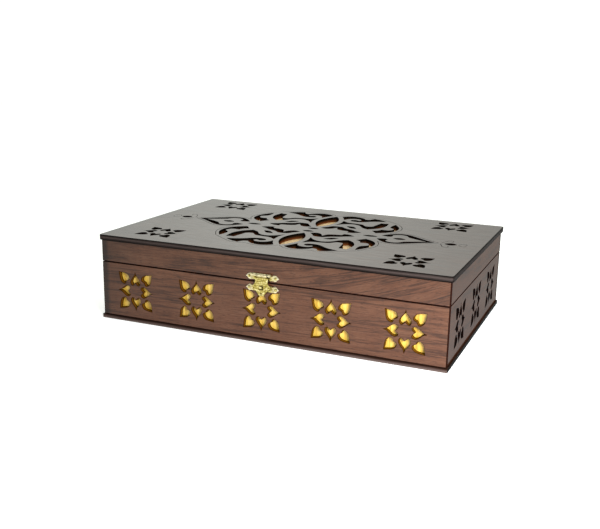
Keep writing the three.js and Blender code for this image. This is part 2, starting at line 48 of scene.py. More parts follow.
def nodeBox(node):
    low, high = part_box(node)
    return low / mm, high / mm


def nodeMiddle(node):
    low, high = nodeBox(node)
    return (low + high) / 2


# Camera

viewpoint = {
    "place": (273.2, -663.8, 225.4),
    "turn": 22.99,                # degrees from straight in front, towards the casket's right side
    "tilt": 14.37,                # degrees down
    "roll": 1.03,                 # degrees
    "focalPixels": 843.7,         # for a picture of this width
    "pictureWidth": 600,
    "sensor": 36,
    "nearest": 20, "furthest": 20000,         # nothing outside these distances is drawn
}


def makeCamera():
    turn, tilt, roll = (math.radians(viewpoint[key]) for key in ("turn", "tilt", "roll"))
    back = Vector((math.sin(turn) * math.cos(tilt), -math.cos(turn) * math.cos(tilt), math.sin(tilt)))
    right = Vector((math.cos(turn), math.sin(turn), 0))
    up = back.cross(right)
    rolledRight = right * math.cos(roll) + up * math.sin(roll)
    rolledUp = up * math.cos(roll) - right * math.sin(roll)
    optics = bpy.data.cameras.new("photographLens")
    optics.sensor_fit = "HORIZONTAL"
    optics.sensor_width = viewpoint["sensor"]
    optics.lens = viewpoint["sensor"] * viewpoint["focalPixels"] / viewpoint["pictureWidth"]
    optics.clip_start = viewpoint["nearest"] * mm
    optics.clip_end = viewpoint["furthest"] * mm
    camera = bpy.data.objects.new("photographCamera", optics)
    turnMatrix = Matrix((rolledRight, rolledUp, back)).transposed().to_4x4()
    camera.matrix_world = Matrix.Translation(Vector(viewpoint["place"]) * mm) @ turnMatrix
    bpy.context.scene.collection.objects.link(camera)
    bpy.context.scene.camera = camera


makeCamera()
print("camera placed")


# Colours and nodes

rangeSockets = ("From Min", "From Max", "To Min", "To Max")
finishes = {}


def linear(hexColour):
    parts = [int(hexColour[i:i + 2], 16) / 255 for i in (1, 3, 5)]
    return [p / 12.92 if p <= 0.04045 else ((p + 0.055) / 1.055) ** 2.4 for p in parts] + [1]


def addNode(tree, kind, settings=None, links=None):
    # lower case settings belong to the node itself, the others to its sockets;
    # a link starts at a socket, or at the first output that a node has in use
    node = tree.nodes.new("ShaderNode" + kind)
    for key, value in (settings or {}).items():
        if key == "stops":
            elements = node.color_ramp.elements
            elements[0].position, elements[1].position = value[0][0], value[-1][0]
            for position, _ in value[1:-1]:
                elements.new(position)
            for element, (_, colour) in zip(elements, value):
                element.color = linear(colour)
        elif isinstance(key, str) and key.islower():
            setattr(node, key, value)
        else:
            node.inputs[key].default_value = linear(value) if isinstance(value, str) else value
    for key, source in (links or {}).items():
        if isinstance(source, bpy.types.Node):
            source = next(output for output in source.outputs if output.enabled)
        tree.links.new(source, node.inputs[key])
    return node


def newMaterial(name):
    finishes[name] = bpy.data.materials.new(name)
    finishes[name].use_nodes = True
    tree = finishes[name].node_tree
    tree.nodes.clear()
    return tree


def finishMaterial(tree, settings, links):
    surface = addNode(tree, "BsdfPrincipled", settings, links)
    addNode(tree, "OutputMaterial", None, {"Surface": surface})


def mottle(tree, place, sizes, drawing):
    # irregular blotches; sizes are how long one is along X, Y and Z
    scaled = addNode(tree, "Mapping", {"Scale": [1 / (size * mm) for size in sizes]}, {"Vector": place})
    return addNode(tree, "TexNoise", {"Scale": 1, **drawing}, {"Vector": scaled})


# Walnut veneer, knife cut, pressed on board and sprayed with clear lacquer.
# To the eye: brown wood with fine long fibres and dark pores, under a smooth film that mirrors at low angles.

veneer = {
    "tones": [(0.25, "#321C12"), (0.5, "#4C2D1D"), (0.8, "#5A3B2A")],
    "pore": "#1A0D08",            # and the thin line along each growth ring
    "poreDarkness": 0.65, "poreDepth": 0.05,
    "rings": 24,                  # the higher, the closer the growth rings lie
    "ringTone": 0.05,             # how much lighter and darker they make the wood
    "lineStart": 0.7,             # a ring's line runs from this height of its wave to the crest
    "lineDarkness": 0.5,
    "figureTone": 0.25,           # how much the figure changes the tone
    "roughness": 0.5,
    "underFilm": 0,               # the wood doesn't mirror under the film
    "lacquerRoughness": 0.1,
    "lacquerIor": 1.5,
    "filmWave": 2.2, "filmDepth": 0.05,       # the film's slight waves, each this long and high
}

# length along the grain, width across it, and how the noise is drawn
veneerGrain = {
    "bands": (260, 5, {"Detail": 3, "Roughness": 0.6, "Distortion": 0.4}),
    "fibres": (38, 0.6, {"Detail": 4, "Roughness": 0.65}),        # really 0.05 wide, drawn so that they show
    "figure": (30, 12, {"Detail": 2, "Roughness": 0.5, "Distortion": 0.5}),      # slow changes of tone
    "pores": (4, 0.28, {"Detail": 1, "Roughness": 0.4}),
    "film": (28, 1.4, {"Detail": 3, "Roughness": 0.6}),           # thicker and thinner lacquer
}

# tilt is the grain's slope in degrees, shade is the share of the wood's brightness that is left (partly the
# veneer's own tone, partly painted shade for how light falls on each face), lacquer is how much of the film
# was sprayed on, streaks is how uneven it is, leftEnd is how much painted shade darkens the wood at its left
# end, and bend is where the grain starts to rise and how strongly it curves
veneerSheets = {
    "longWalnut": {
        "grain": "X", "tilt": 1.5, "shift": (0.4, 0.1, 0.7), "figure": 0.25, "shade": 1, "lacquer": 0.55,
        "leftEnd": 0.2},
    "railWalnut": {
        "grain": "X", "tilt": 2, "shift": (0.9, 0.3, 0.2), "figure": 0.5, "shade": 0.88, "lacquer": 0.6,
        "bend": (-30, 1.1), "leftEnd": 0.34},
    "crossWalnut": {
        "grain": "Y", "tilt": 2, "shift": (0.2, 0.8, 0.5), "figure": 0.3, "shade": 0.42, "lacquer": 0.19},
    "lidWalnut": {
        "grain": "X", "tilt": 4, "shift": (0.6, 0.5, 0.9), "figure": 0.3, "shade": 0.5, "lacquer": 1,
        "streaks": 0.17},
    "footWalnut": {
        "grain": "X", "tilt": 2, "shift": (0.3, 0.6, 0.1), "figure": 0.3, "shade": 0.3, "lacquer": 0.3},
}

# painted shade: the veneer darkens from x = -108 to -138, towards the casket's left end, where less light
# falls
leftEnd = {"from": -108, "to": -138}
cornerStrip = {"inside": -141, "outside": -144.4, "shade": 0.3}   # end grain, a dark strip at the left corner


def walnutVeneer(name):
    sheet = veneerSheets[name]
    tree = newMaterial(name)
    place = addNode(tree, "TexCoord").outputs["Object"]
    rightwards = addNode(tree, "SeparateXYZ", None, {"Vector": place}).outputs["X"]
    if "bend" in sheet:
        start, bend = sheet["bend"]
        beyond = addNode(tree, "Math", {"operation": "SUBTRACT", 1: start * mm}, {0: rightwards})
        past = addNode(tree, "Math", {"operation": "MAXIMUM", 1: 0}, {0: beyond})
        square = addNode(tree, "Math", {"operation": "MULTIPLY"}, {0: past, 1: past})
        rise = addNode(tree, "Math", {"operation": "MULTIPLY", 1: -bend}, {0: square})
        upwards = addNode(tree, "CombineXYZ", None, {"Z": rise})
        place = addNode(tree, "VectorMath", {"operation": "ADD"}, {0: place, 1: upwards})
    tilt = math.radians(sheet["tilt"])
    place = addNode(tree, "Mapping", {"Location": sheet["shift"], "Rotation": (0, tilt, tilt)},
                    {"Vector": place})
    grain = {}
    for part, (length, width, drawing) in veneerGrain.items():
        sizes = (length, width, width) if sheet["grain"] == "X" else (width, length, width)
        grain[part] = mottle(tree, place, sizes, drawing)
    waves = addNode(tree, "Math", {"operation": "MULTIPLY", 1: veneer["rings"]}, {0: grain["bands"]})
    rings = addNode(tree, "Math", {"operation": "SINE"}, {0: waves})
    figure = veneer["figureTone"] * sheet["figure"]
    thinFilm = sheet["lacquer"] * (1 - sheet.get("streaks", 0))
    ranges = {                    # where each value comes from, its limits and what they become
        "rings": (rings, -1, 1, veneer["ringTone"], -veneer["ringTone"]),
        "lines": (rings, veneer["lineStart"], 1, 0, veneer["lineDarkness"]),
        "figure": (grain["figure"], 0.3, 0.7, -figure, figure),
        "pores": (grain["pores"], 0.6, 0.7, 0, veneer["poreDarkness"]),
        "film": (grain["film"], 0.3, 0.7, thinFilm, sheet["lacquer"]),
        "corner": (rightwards, cornerStrip["outside"] * mm, cornerStrip["inside"] * mm,
                   1 - cornerStrip["shade"], 0),
    }
    if "leftEnd" in sheet:
        ranges["leftEnd"] = (rightwards, leftEnd["to"] * mm, leftEnd["from"] * mm, sheet["leftEnd"], 0)
    mapped = {part: addNode(tree, "MapRange", dict(zip(rangeSockets, limits)), {"Value": source})
              for part, (source, *limits) in ranges.items()}
    tone = addNode(tree, "Math", {"operation": "ADD"}, {0: mapped["rings"], 1: grain["fibres"]})
    tone = addNode(tree, "Math", {"operation": "ADD"}, {0: tone, 1: mapped["figure"]})
    colour = addNode(tree, "ValToRGB", {"stops": veneer["tones"]}, {"Fac": tone})
    # painted shade: each sheet's shade darkens its copy of the veneer, together with the end grain's dark
    # strip at the left corner
    shadeAndEndGrain = addNode(tree, "Math", {"operation": "MAXIMUM", 1: 1 - sheet["shade"]}, {0: mapped["corner"]})
    darkened = [(mapped["lines"], veneer["pore"]), (mapped["pores"], veneer["pore"]), (shadeAndEndGrain, "#000000")]
    # painted shade towards the left end
    if "leftEnd" in sheet:
        darkened.append((mapped["leftEnd"], "#000000"))
    for share, darker in darkened:
        colour = addNode(tree, "Mix", {"data_type": "RGBA", 7: darker}, {0: share, 6: colour})
    bump = addNode(tree, "Bump", {"Strength": 0.25, "Distance": veneer["poreDepth"] * mm, "invert": True},
                   {"Height": mapped["pores"]})
    film = mottle(tree, place, (veneer["filmWave"],) * 3, {"Detail": 1})
    filmBump = addNode(tree, "Bump", {"Strength": 0.04, "Distance": veneer["filmDepth"] * mm},
                       {"Height": film})
    finishMaterial(
        tree,
        {"Roughness": veneer["roughness"], "IOR": 1.5, "Specular IOR Level": veneer["underFilm"],
         "Coat Roughness": veneer["lacquerRoughness"], "Coat IOR": veneer["lacquerIor"]},
        {"Base Color": colour, "Normal": bump, "Coat Weight": mapped["film"], "Coat Normal": filmBump})


for name in veneerSheets:
    walnutVeneer(name)


# Board edges cut by laser: charred nearly black at both faces, brown where the beam passed fastest.
# To the eye: matt soot with fine ridges across the edge.

charredEdge = {
    "colours": {                  # at heights up the edge, from the back of the sheet to its face
        "boardEdge": [(0, "#140805"), (0.3, "#26120C"), (0.75, "#26120C"), (1, "#140805")],
        "sootEdge": [(0, "#030202"), (0.3, "#0A0504"), (0.75, "#0A0504"), (1, "#030202")],
        # the petals' walls: charred, and tinted amber as a painted reflection of light bounced off the gold
        # lining behind them
        "petalCharAndGoldBounce": [(0, "#241203"), (0.3, "#4A2C06"), (0.55, "#68430C"), (0.75, "#4A2C06"), (1, "#241203")],
        "lidCutEdge": [(0, "#6E3C1A"), (0.3, "#3C1F0E"), (0.6, "#0C0704"), (1, "#040302")],
    },
    "spread": 0.25,               # how far the colours wander, as a share of the thickness
    "ridgeWidth": 0.5,            # real ridges are about 0.1 apart, drawn coarser so that they show
    "ridgeDepth": 0.1,
    "roughness": 0.9,
    "mirror": 0,                  # soot is porous
}


def burntColour(tree, blotches, spread, stops):
    depth = addNode(tree, "Attribute", {"attribute_name": "depth"}).outputs["Fac"]
    shift = addNode(tree, "MapRange", {"To Min": -spread, "To Max": spread}, {"Value": blotches})
    layer = addNode(tree, "Math", {"operation": "ADD"}, {0: depth, 1: shift})
    return addNode(tree, "ValToRGB", {"stops": stops}, {"Fac": layer})


def laserCutEdge(name):
    tree = newMaterial(name)
    place = addNode(tree, "TexCoord").outputs["Object"]
    ridges = mottle(tree, place, (charredEdge["ridgeWidth"],) * 3, {"Detail": 2})
    colour = burntColour(tree, ridges, charredEdge["spread"], charredEdge["colours"][name])
    bump = addNode(tree, "Bump", {"Strength": 0.4, "Distance": charredEdge["ridgeDepth"] * mm},
                   {"Height": ridges})
    finishMaterial(tree, {"Roughness": charredEdge["roughness"], "IOR": 1.5,
                          "Specular IOR Level": charredEdge["mirror"]},
                   {"Base Color": colour, "Normal": bump})


for name in charredEdge["colours"]:
    laserCutEdge(name)


# Outer edges of the lid and the foot: laser cut, then lacquered with the faces.
# To the eye: on the lid, charred lines beside a greyer middle; on the foot, grey below and nearly black at
# the top, under the board; nearly matt because the bare edge drank the film.

outerEdge = {
    "colours": {                  # at heights up the edge
        "lidEdge": [(0.05, "#050403"), (0.3, "#221B19"), (0.55, "#3A312E"), (0.75, "#221B19"),
                    (0.95, "#050403")],
        "footEdge": [(0.05, "#5E504A"), (0.3, "#4E413C"), (0.6, "#3A2C28"), (0.8, "#24150F"),
                     (0.95, "#150A06")],
    },
    "spread": 0.2,
    "layerLength": 30, "layerHeight": 0.8,    # blotches in the pressed board's layers
    "ends": "#050302",            # the edge faces that turn left and right are drawn blacker
    "endBlackness": {"lidEdge": 0.75, "footEdge": 1},
    "roughness": 0.7,
    "mirror": 0.05,
}


def lacqueredEdge(name):
    tree = newMaterial(name)
    place = addNode(tree, "TexCoord").outputs["Object"]
    length, height = outerEdge["layerLength"], outerEdge["layerHeight"]
    layers = mottle(tree, place, (length, length, height), {"Detail": 3, "Roughness": 0.6})
    colour = burntColour(tree, layers, outerEdge["spread"], outerEdge["colours"][name])
    normal = addNode(tree, "NewGeometry").outputs["Normal"]
    sideways = addNode(tree, "SeparateXYZ", None, {"Vector": normal}).outputs["X"]
    turned = addNode(tree, "Math", {"operation": "ABSOLUTE"}, {0: sideways})
    black = addNode(tree, "MapRange", {"From Min": 0.5, "From Max": 0.9, "To Min": 0,
                                       "To Max": outerEdge["endBlackness"][name]}, {"Value": turned})
    colour = addNode(tree, "Mix", {"data_type": "RGBA", 7: outerEdge["ends"]}, {0: black, 6: colour})
    finishMaterial(tree, {"Roughness": outerEdge["roughness"], "IOR": 1.5,
                          "Specular IOR Level": outerEdge["mirror"]}, {"Base Color": colour})


for name in outerEdge["colours"]:
    lacqueredEdge(name)


# Satin weave polyester, stretched over card and glued.
# To the eye: bright gold with soft streaks where the threads catch the light, upright on the walls; the
# streaks are painted sheen, lighter and darker gold in the colour.

satin = {
    "tones": [(0.3, "#9F7820"), (0.5, "#C9A23F"), (0.7, "#D2B25C")],
    "streakWidth": 2.2, "streakLength": 60,
    "threadWidth": 0.35,          # real threads are 0.1 apart, drawn coarser so that they show
    "threadLength": 2.8, "threadDepth": 0.1,
    "roughness": 0.34,
    "streakAxis": {"uprightSatin": "Z", "flatSatin": "X"},
}


def goldSatin(name):
    tree = newMaterial(name)
    place = addNode(tree, "TexCoord").outputs["Object"]

    def sizes(along, across):
        return (across, across, along) if satin["streakAxis"][name] == "Z" else (along, across, across)

    # painted sheen: lighter and darker gold along the streaks
    streaks = mottle(tree, place, sizes(satin["streakLength"], satin["streakWidth"]),
                     {"Detail": 3, "Roughness": 0.6})
    colour = addNode(tree, "ValToRGB", {"stops": satin["tones"]}, {"Fac": streaks})
    threads = mottle(tree, place, sizes(satin["threadLength"], satin["threadWidth"]), {"Detail": 1})
    bump = addNode(tree, "Bump", {"Strength": 0.5, "Distance": satin["threadDepth"] * mm},
                   {"Height": threads})
    finishMaterial(tree, {"Roughness": satin["roughness"], "IOR": 1.5},
                   {"Base Color": colour, "Normal": bump})


for name in satin["streakAxis"]:
    goldSatin(name)


# Medium density fibreboard, sawn and left bare.
# To the eye: even tan with a fine speckle of fibres, quite matt.

fibreboard = {
    "tones": [(0.3, "#B08F63"), (0.55, "#D2B488"), (0.8, "#E2CBA4")],
    "speckle": 0.9,               # real fibres are about 0.1 wide, drawn coarser so that they show
    "speckleDepth": 0.1,
    "roughness": 0.85,
}


def bareFibreboard():
    tree = newMaterial("bareFibreboard")
    place = addNode(tree, "TexCoord").outputs["Object"]
    speckle = mottle(tree, place, (fibreboard["speckle"],) * 3, {"Detail": 4, "Roughness": 0.7})
    colour = addNode(tree, "ValToRGB", {"stops": fibreboard["tones"]}, {"Fac": speckle})
    bump = addNode(tree, "Bump", {"Strength": 0.3, "Distance": fibreboard["speckleDepth"] * mm},
                   {"Height": speckle})
    finishMaterial(tree, {"Roughness": fibreboard["roughness"], "IOR": 1.5},
                   {"Base Color": colour, "Normal": bump})


bareFibreboard()


# Brass sheet, pressed and barrel polished.
# To the eye: pale yellow metal in brighter and browner blotches, palest on the wings and the roll, where a
# highlight is painted, with painted shade under the roll.

brass = {
    "tones": [(0.32, "#6B5A20"), (0.5, "#B7A65A"), (0.68, "#E8DCA6")],
    "creaseShade": "#6B5A20", "paintedLight": "#F4EBD2",
    "blotch": 1.7,                # size of the blotches
    "paintedLightShare": {"pressedBrass": 0, "haspBrass": 0.7},      # how much painted highlight the wings and the roll get, and painted shade the crease
    "highlightFrom": 7, "highlightTo": 13,  # distances from the hasp's middle
    "crease": 1.8,                # painted shade lies under the hasp's roll, this far below the pin
    "creaseCore": 0.2, "creaseHalf": 0.6,
    "creaseEnd": 7, "creaseFade": 0.7,
    "rollBottom": 1.3,            # and the roll above it gets a painted highlight
    "rollFade": 0.3, "rollHighlight": 0.6,
    "roughness": (0.2, 0.42),     # in the darkest and the palest blotches
}


def pressedBrass(name):
    tree = newMaterial(name)
    paintedLight = brass["paintedLightShare"][name]
    pin = nodeMiddle("hasp_pin")
    place = addNode(tree, "TexCoord").outputs["Object"]
    tarnish = mottle(tree, place, (brass["blotch"],) * 3, {"Detail": 4, "Roughness": 0.6})
    colour = addNode(tree, "ValToRGB", {"stops": brass["tones"]}, {"Fac": tarnish})
    position = addNode(tree, "SeparateXYZ", None, {"Vector": place})
    away = {}
    for axis, centre in (("X", pin.x), ("Z", pin.z - brass["crease"])):
        offset = addNode(tree, "Math", {"operation": "SUBTRACT", 1: centre * mm}, {0: position.outputs[axis]})
        away[axis] = addNode(tree, "Math", {"operation": "ABSOLUTE"}, {0: offset})
    rollBottom = pin.z - brass["rollBottom"]
    ranges = {                    # where each value comes from, its limits and what they become
        "wings": (away["X"], brass["highlightFrom"], brass["highlightTo"], 0, paintedLight),
        "roll": (position.outputs["Z"], rollBottom - brass["rollFade"], rollBottom + brass["rollFade"],
                 0, paintedLight * brass["rollHighlight"]),
        "crease": (away["Z"], brass["creaseCore"], brass["creaseHalf"], paintedLight, 0),
        "creaseEnd": (away["X"], brass["creaseEnd"], brass["creaseEnd"] + brass["creaseFade"], 1, 0),
    }
    mapped = {part: addNode(tree, "MapRange", dict(zip(rangeSockets, (low * mm, high * mm, start, end))),
                            {"Value": source})
              for part, (source, low, high, start, end) in ranges.items()}
    # painted highlight on the wings and the roll
    highlights = addNode(tree, "Math", {"operation": "MAXIMUM"}, {0: mapped["wings"], 1: mapped["roll"]})
    # painted shade in the crease under the roll
    creaseShade = addNode(tree, "Math", {"operation": "MULTIPLY"}, {0: mapped["crease"], 1: mapped["creaseEnd"]})
    for share, other in ((highlights, brass["paintedLight"]), (creaseShade, brass["creaseShade"])):
        colour = addNode(tree, "Mix", {"data_type": "RGBA", 7: other}, {0: share, 6: colour})
    smooth, rough = brass["roughness"]
    roughness = addNode(tree, "MapRange", {"To Min": smooth, "To Max": rough}, {"Value": tarnish})
    finishMaterial(tree, {"Metallic": 1}, {"Base Color": colour, "Roughness": roughness})


for name in brass["paintedLightShare"]:
    pressedBrass(name)
print("finishes mixed")


# Where things are

facing = {                        # along, up and out of each face of the casket
    "front": (Vector((1, 0, 0)), Vector((0, 0, 1)), Vector((0, -1, 0))),
    "back": (Vector((-1, 0, 0)), Vector((0, 0, 1)), Vector((0, 1, 0))),
    "right": (Vector((0, 1, 0)), Vector((0, 0, 1)), Vector((1, 0, 0))),
    "left": (Vector((0, -1, 0)), Vector((0, 0, 1)), Vector((-1, 0, 0))),
    "top": (Vector((1, 0, 0)), Vector((0, 1, 0)), Vector((0, 0, 1))),
    "section": (Vector((0, 1, 0)), Vector((0, 0, 1)), Vector((1, 0, 0))),
}


def placer(face, origin):
    along, up, out = facing[face]
    return lambda u, v, w: (origin + along * u + up * v + out * w) * mm


def nodeOnFace(node, face):
    # a node's length, height and thickness as its face shows them, and a placer that starts at its back
    low, high = nodeBox(node)
    length, height, thickness = (abs((high - low).dot(axis)) for axis in facing[face])
    return length, height, thickness, placer(face, (low + high) / 2 - facing[face][2] * thickness / 2)


# Meshes and what they stand for

def newMesh(name, vertices, faces, materials):
    mesh = bpy.data.meshes.new(name)
    mesh.from_pydata(vertices, [], faces)
    for material in materials:
        mesh.materials.append(finishes[material])
    return mesh


def linkPiece(name, mesh):
    mesh.validate()
    piece = bpy.data.objects.new(name, mesh)
    bpy.context.scene.collection.objects.link(piece)
    return piece


def settle(piece, body, slot, *nodes):
    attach(piece, body)
    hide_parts(*nodes)


def joined(name, pieces):
    # several closed meshes of one real piece become one object
    target = pieces[0]
    with bpy.context.temp_override(active_object=target, selected_editable_objects=pieces):
        bpy.ops.object.join()
    target.name = name
    return target


# Outlines of flat pieces, each a ring of points

def area(ring):
    return sum(a.x * b.y - b.x * a.y for a, b in zip(ring, ring[1:] + ring[:1])) / 2


def oriented(ring, positive):
    return ring if (area(ring) > 0) == positive else ring[::-1]


def circle(x, y, radius, steps=20):
    angles = (2 * math.pi * i / steps for i in range(steps))
    return [Vector((x + radius * math.cos(a), y + radius * math.sin(a))) for a in angles]


def arc(radius, start, end, steps):
    angles = (math.radians(start + (end - start) * i / steps) for i in range(steps + 1))
    return [Vector((radius * math.cos(a), radius * math.sin(a))) for a in angles]


def roundedRectangle(width, height, corner, steps=5):
    points = []
    for quarter, (sideX, sideY) in enumerate([(1, 1), (-1, 1), (-1, -1), (1, -1)]):
        centre = Vector((sideX * (width / 2 - corner), sideY * (height / 2 - corner)))
        points += [centre + point for point in arc(corner, 90 * quarter, 90 * quarter + 90, steps)]
    return points


def movedIn(ring, distance):
    # the material lies on the left of the ring; sharp corners move less, so that they don't fold over
    leastShare, leastTurn, mostOfSide = 0.3, 0.1, 0.6
    moved = []
    for i, point in enumerate(ring):
        before = point - ring[i - 1]
        after = ring[(i + 1) % len(ring)] - point
        shortest = min(before.length, after.length)
        before.normalize()
        after.normalize()
        normal = Vector((-before.y - after.y, before.x + after.x))
        share = max(normal.length / 2, leastShare)
        turn = max(math.sqrt(max(1 - share * share, 0)), leastTurn)
        reach = min(distance, mostOfSide * shortest * share / turn)
        normal.normalize()
        moved.append(point + normal * (reach / share))
    return moved


def narrowed(ring, inset, narrowing):
    row = movedIn(ring, inset) if inset > 0 else ring
    middle = sum(ring, Vector((0, 0))) / len(ring)
    return [middle + (point - middle) * (1 - narrowing) for point in row] if narrowing else row


def roundedRows(rounding, thickness, scorch, steps=2):
    # [inset, height] up the edge of a sheet, rounded at both faces, with a scorched band on each face
    rows = [(rounding + scorch, 0)] if scorch else []
    for i in range(steps + 1):
        angle = math.pi / 2 * i / steps
        rows.append((rounding * (1 - math.sin(angle)), rounding * (1 - math.cos(angle))))
    return rows + [(inset, thickness - height) for inset, height in reversed(rows)]


# Flat pieces cut from sheet

faceSlot, edgeSlot, holeSlot = 0, 1, 2        # which of a sheet's materials is where
grooveDepth = 0.25
touching = 1e-6                   # points closer than this are one
smoothUpTo = {"sheet": 32, "turned": 40}      # degrees between faces that are shaded as one


def addWall(sheet, rows, slot):
    # each row is [ring, height, depth], from the back of the sheet up, and depth is kept for the finishes;
    # gives the numbers of the lowest and the highest ring's points
    start, count = len(sheet["vertices"]), len(rows[0][0])
    for ring, height, depth in rows:
        sheet["vertices"] += [(point.x, point.y, height) for point in ring]
        sheet["depths"] += [depth] * count
    for row in range(len(rows) - 1):
        for i in range(count):
            a = start + row * count + i
            b = start + row * count + (i + 1) % count
            sheet["faces"].append((a, b, b + count, a + count))
            sheet["slots"].append(slot)
    last = len(sheet["vertices"]) - count
    return list(range(start, start + count)), list(range(last, last + count))


def addGroove(sheet, strip, thickness):
    # a shallow channel in the sheet's face, with a floor between its two long sides; gives its rim's points
    ring = oriented(strip, False)
    floor, rim = addWall(sheet, [(ring, thickness - grooveDepth, 1), (ring, thickness, 1)], holeSlot)
    for i in range(len(ring) // 2 - 1):
        sheet["faces"].append((floor[-1 - i], floor[-2 - i], floor[i + 1], floor[i]))
        sheet["slots"].append(holeSlot)
    return rim


def insidePoints(rings, spacing):
    outline = rings[0]
    lowX, highX = min(p.x for p in outline), max(p.x for p in outline)
    lowY, highY = min(p.y for p in outline), max(p.y for p in outline)
    leastGap = spacing * 0.6      # to the outlines
    points = []
    for i in range(1, int((highX - lowX) / spacing)):
        for j in range(1, int((highY - lowY) / spacing)):
            point = Vector((lowX + i * spacing, lowY + j * spacing))
            crossings = 0
            near = False
            for ring in rings:
                for a, b in zip(ring, ring[1:] + ring[:1]):
                    if (a.y > point.y) != (b.y > point.y):
                        if point.x < a.x + (point.y - a.y) * (b.x - a.x) / (b.y - a.y):
                            crossings += 1
                    near = near or (a - point).length < leastGap
            if crossings % 2 and not near:
                points.append(point)
    return points


def filledTriangles(triangles, edges, edgeOrigins):
    # a triangle belongs to the sheet if an odd number of outlines lies between it and the outside
    outlines = {frozenset(edge) for edge, origin in zip(edges, edgeOrigins) if origin}
    sharing = {}
    for index, corners in enumerate(triangles):
        for edge in zip(corners, corners[1:] + corners[:1]):
            sharing.setdefault(frozenset(edge), []).append(index)
    filled = {owners[0]: edge in outlines for edge, owners in sharing.items() if len(owners) == 1}
    waiting = list(filled)
    while waiting:
        index = waiting.pop()
        corners = triangles[index]
        for edge in zip(corners, corners[1:] + corners[:1]):
            edge = frozenset(edge)
            for neighbour in sharing[edge]:
                if neighbour not in filled:
                    filled[neighbour] = filled[index] != (edge in outlines)
                    waiting.append(neighbour)
    return [corners for index, corners in enumerate(triangles) if filled[index]]


def addCap(sheet, rings, side, thickness, grid=None):
    # fills between the rings; side is 0 for the back of the sheet and 1 for its face
    known = [i for ring in rings for i in ring]
    flatRings = [[Vector(sheet["vertices"][i][:2]) for i in ring] for ring in rings]
    flat = [point for ring in flatRings for point in ring]
    edges = []
    for ring in rings:
        start = len(edges)
        edges += [(start + i, start + (i + 1) % len(ring)) for i in range(len(ring))]
    if grid:
        flat += insidePoints(flatRings, grid)
    everyTriangle = 0
    points, joins, triangles, origins, joinOrigins, _ = delaunay_2d_cdt(
        flat, edges, [], everyTriangle, touching, True)
    lookup = []
    for point, origin in zip(points, origins):
        ringPoints = [i for i in origin if i < len(known)]
        if ringPoints:
            lookup.append(known[ringPoints[0]])
        else:
            lookup.append(len(sheet["vertices"]))
            sheet["vertices"].append((point.x, point.y, thickness * side))
            sheet["depths"].append(side)
    for triangle in filledTriangles([tuple(t) for t in triangles], joins, joinOrigins):
        corners = [lookup[i] for i in triangle]
        if len(set(corners)) == 3:
            sheet["faces"].append(corners if side else corners[::-1])
            sheet["slots"].append(faceSlot)


def sheetPiece(name, outline, holes, thickness, place, materials, edgeRound=0.2, holeRound=0.15,
               grid=None, relief=None, scorch=0, taper=0, grooves=()):
    # outline is a ring, or a function from the inset to a ring; taper is how much holes narrow to the back;
    # materials are those of the face, the edge and the holes, or fewer where they are alike
    sheet = {"vertices": [], "depths": [], "faces": [], "slots": []}
    edgeAt = outline if callable(outline) else lambda inset: narrowed(oriented(outline, True), inset, 0)
    walls = [([(edgeAt(inset), height, height / thickness)
               for inset, height in roundedRows(edgeRound, thickness, scorch)], edgeSlot)]
    for hole in holes:
        ring = oriented(hole, False)
        walls.append(([(narrowed(ring, inset, taper * (1 - height / thickness)), height, height / thickness)
                       for inset, height in roundedRows(holeRound, thickness, scorch)], holeSlot))
    backRings, faceRings = zip(*(addWall(sheet, rows, slot) for rows, slot in walls))
    rims = [addGroove(sheet, strip, thickness) for strip in grooves]
    addCap(sheet, backRings, 0, thickness)
    addCap(sheet, [*faceRings, *rims], 1, thickness, grid)
    vertices = sheet["vertices"]
    if relief:
        top = thickness - touching
        vertices = [(x, y, z + relief(x, y)) if z > top else (x, y, z) for x, y, z in vertices]
    mesh = newMesh(name, [place(*vertex) for vertex in vertices], sheet["faces"], materials)
    mesh.attributes.new("depth", "FLOAT", "POINT").data.foreach_set("value", sheet["depths"])
    mesh.set_sharp_from_angle(angle=math.radians(smoothUpTo["sheet"]))
    for polygon, slot in zip(mesh.polygons, sheet["slots"]):
        polygon.material_index = min(slot, len(materials) - 1)
        polygon.use_smooth = slot != faceSlot or relief is not None
    return linkPiece(name, mesh)


# Smooth outlines and rosettes

pointSpacing = 0.9


def smoothStroke(line):
    # the curve passes through every point, and its last point is left to the next stroke
    points = [Vector(p) for p in line]
    drawn = []
    for i in range(len(points) - 1):
        before, start, end = points[max(i - 1, 0)], points[i], points[i + 1]
        after = points[min(i + 2, len(points) - 1)]
        steps = max(1, round((end - start).length / pointSpacing))
        for k in range(steps):
            t = k / steps
            if len(points) == 2:
                drawn.append(start.lerp(end, t))
                continue
            drawn.append(0.5 * (2 * start + (end - before) * t
                                + (2 * before - 5 * start + 4 * end - after) * t * t
                                + (3 * start - before - 3 * end + after) * t ** 3))
    return drawn


rosette = {
    "reach": 16.6,                # centre to the tips of the upright petals
    "diagonalReach": 22.3,
    "pitch": 58.1,
    "endMargin": 30,
}

# Half of each heart-shaped petal as [distance in from its tip, half width], from the tip to the notch
uprightPetal = [(0, 0), (2.7, 0.8), (4.8, 2.5), (7.4, 4.3), (9.4, 4.6), (11.3, 3.4), (11, 2), (9, 0)]
diagonalPetal = [(0, 0), (2.1, 1.6), (5.1, 3.7), (7.5, 4.45), (9.9, 3.9), (11, 2.6), (10.1, 0)]


def petal(centre, angle, reach, half):
    turn = Matrix.Rotation(angle, 2)
    line = smoothStroke(half) + [Vector(half[-1])]
    ring = line + [Vector((p.x, -p.y)) for p in reversed(line[1:-1])]
    return [centre + turn @ Vector((reach - p.x, p.y)) for p in ring]


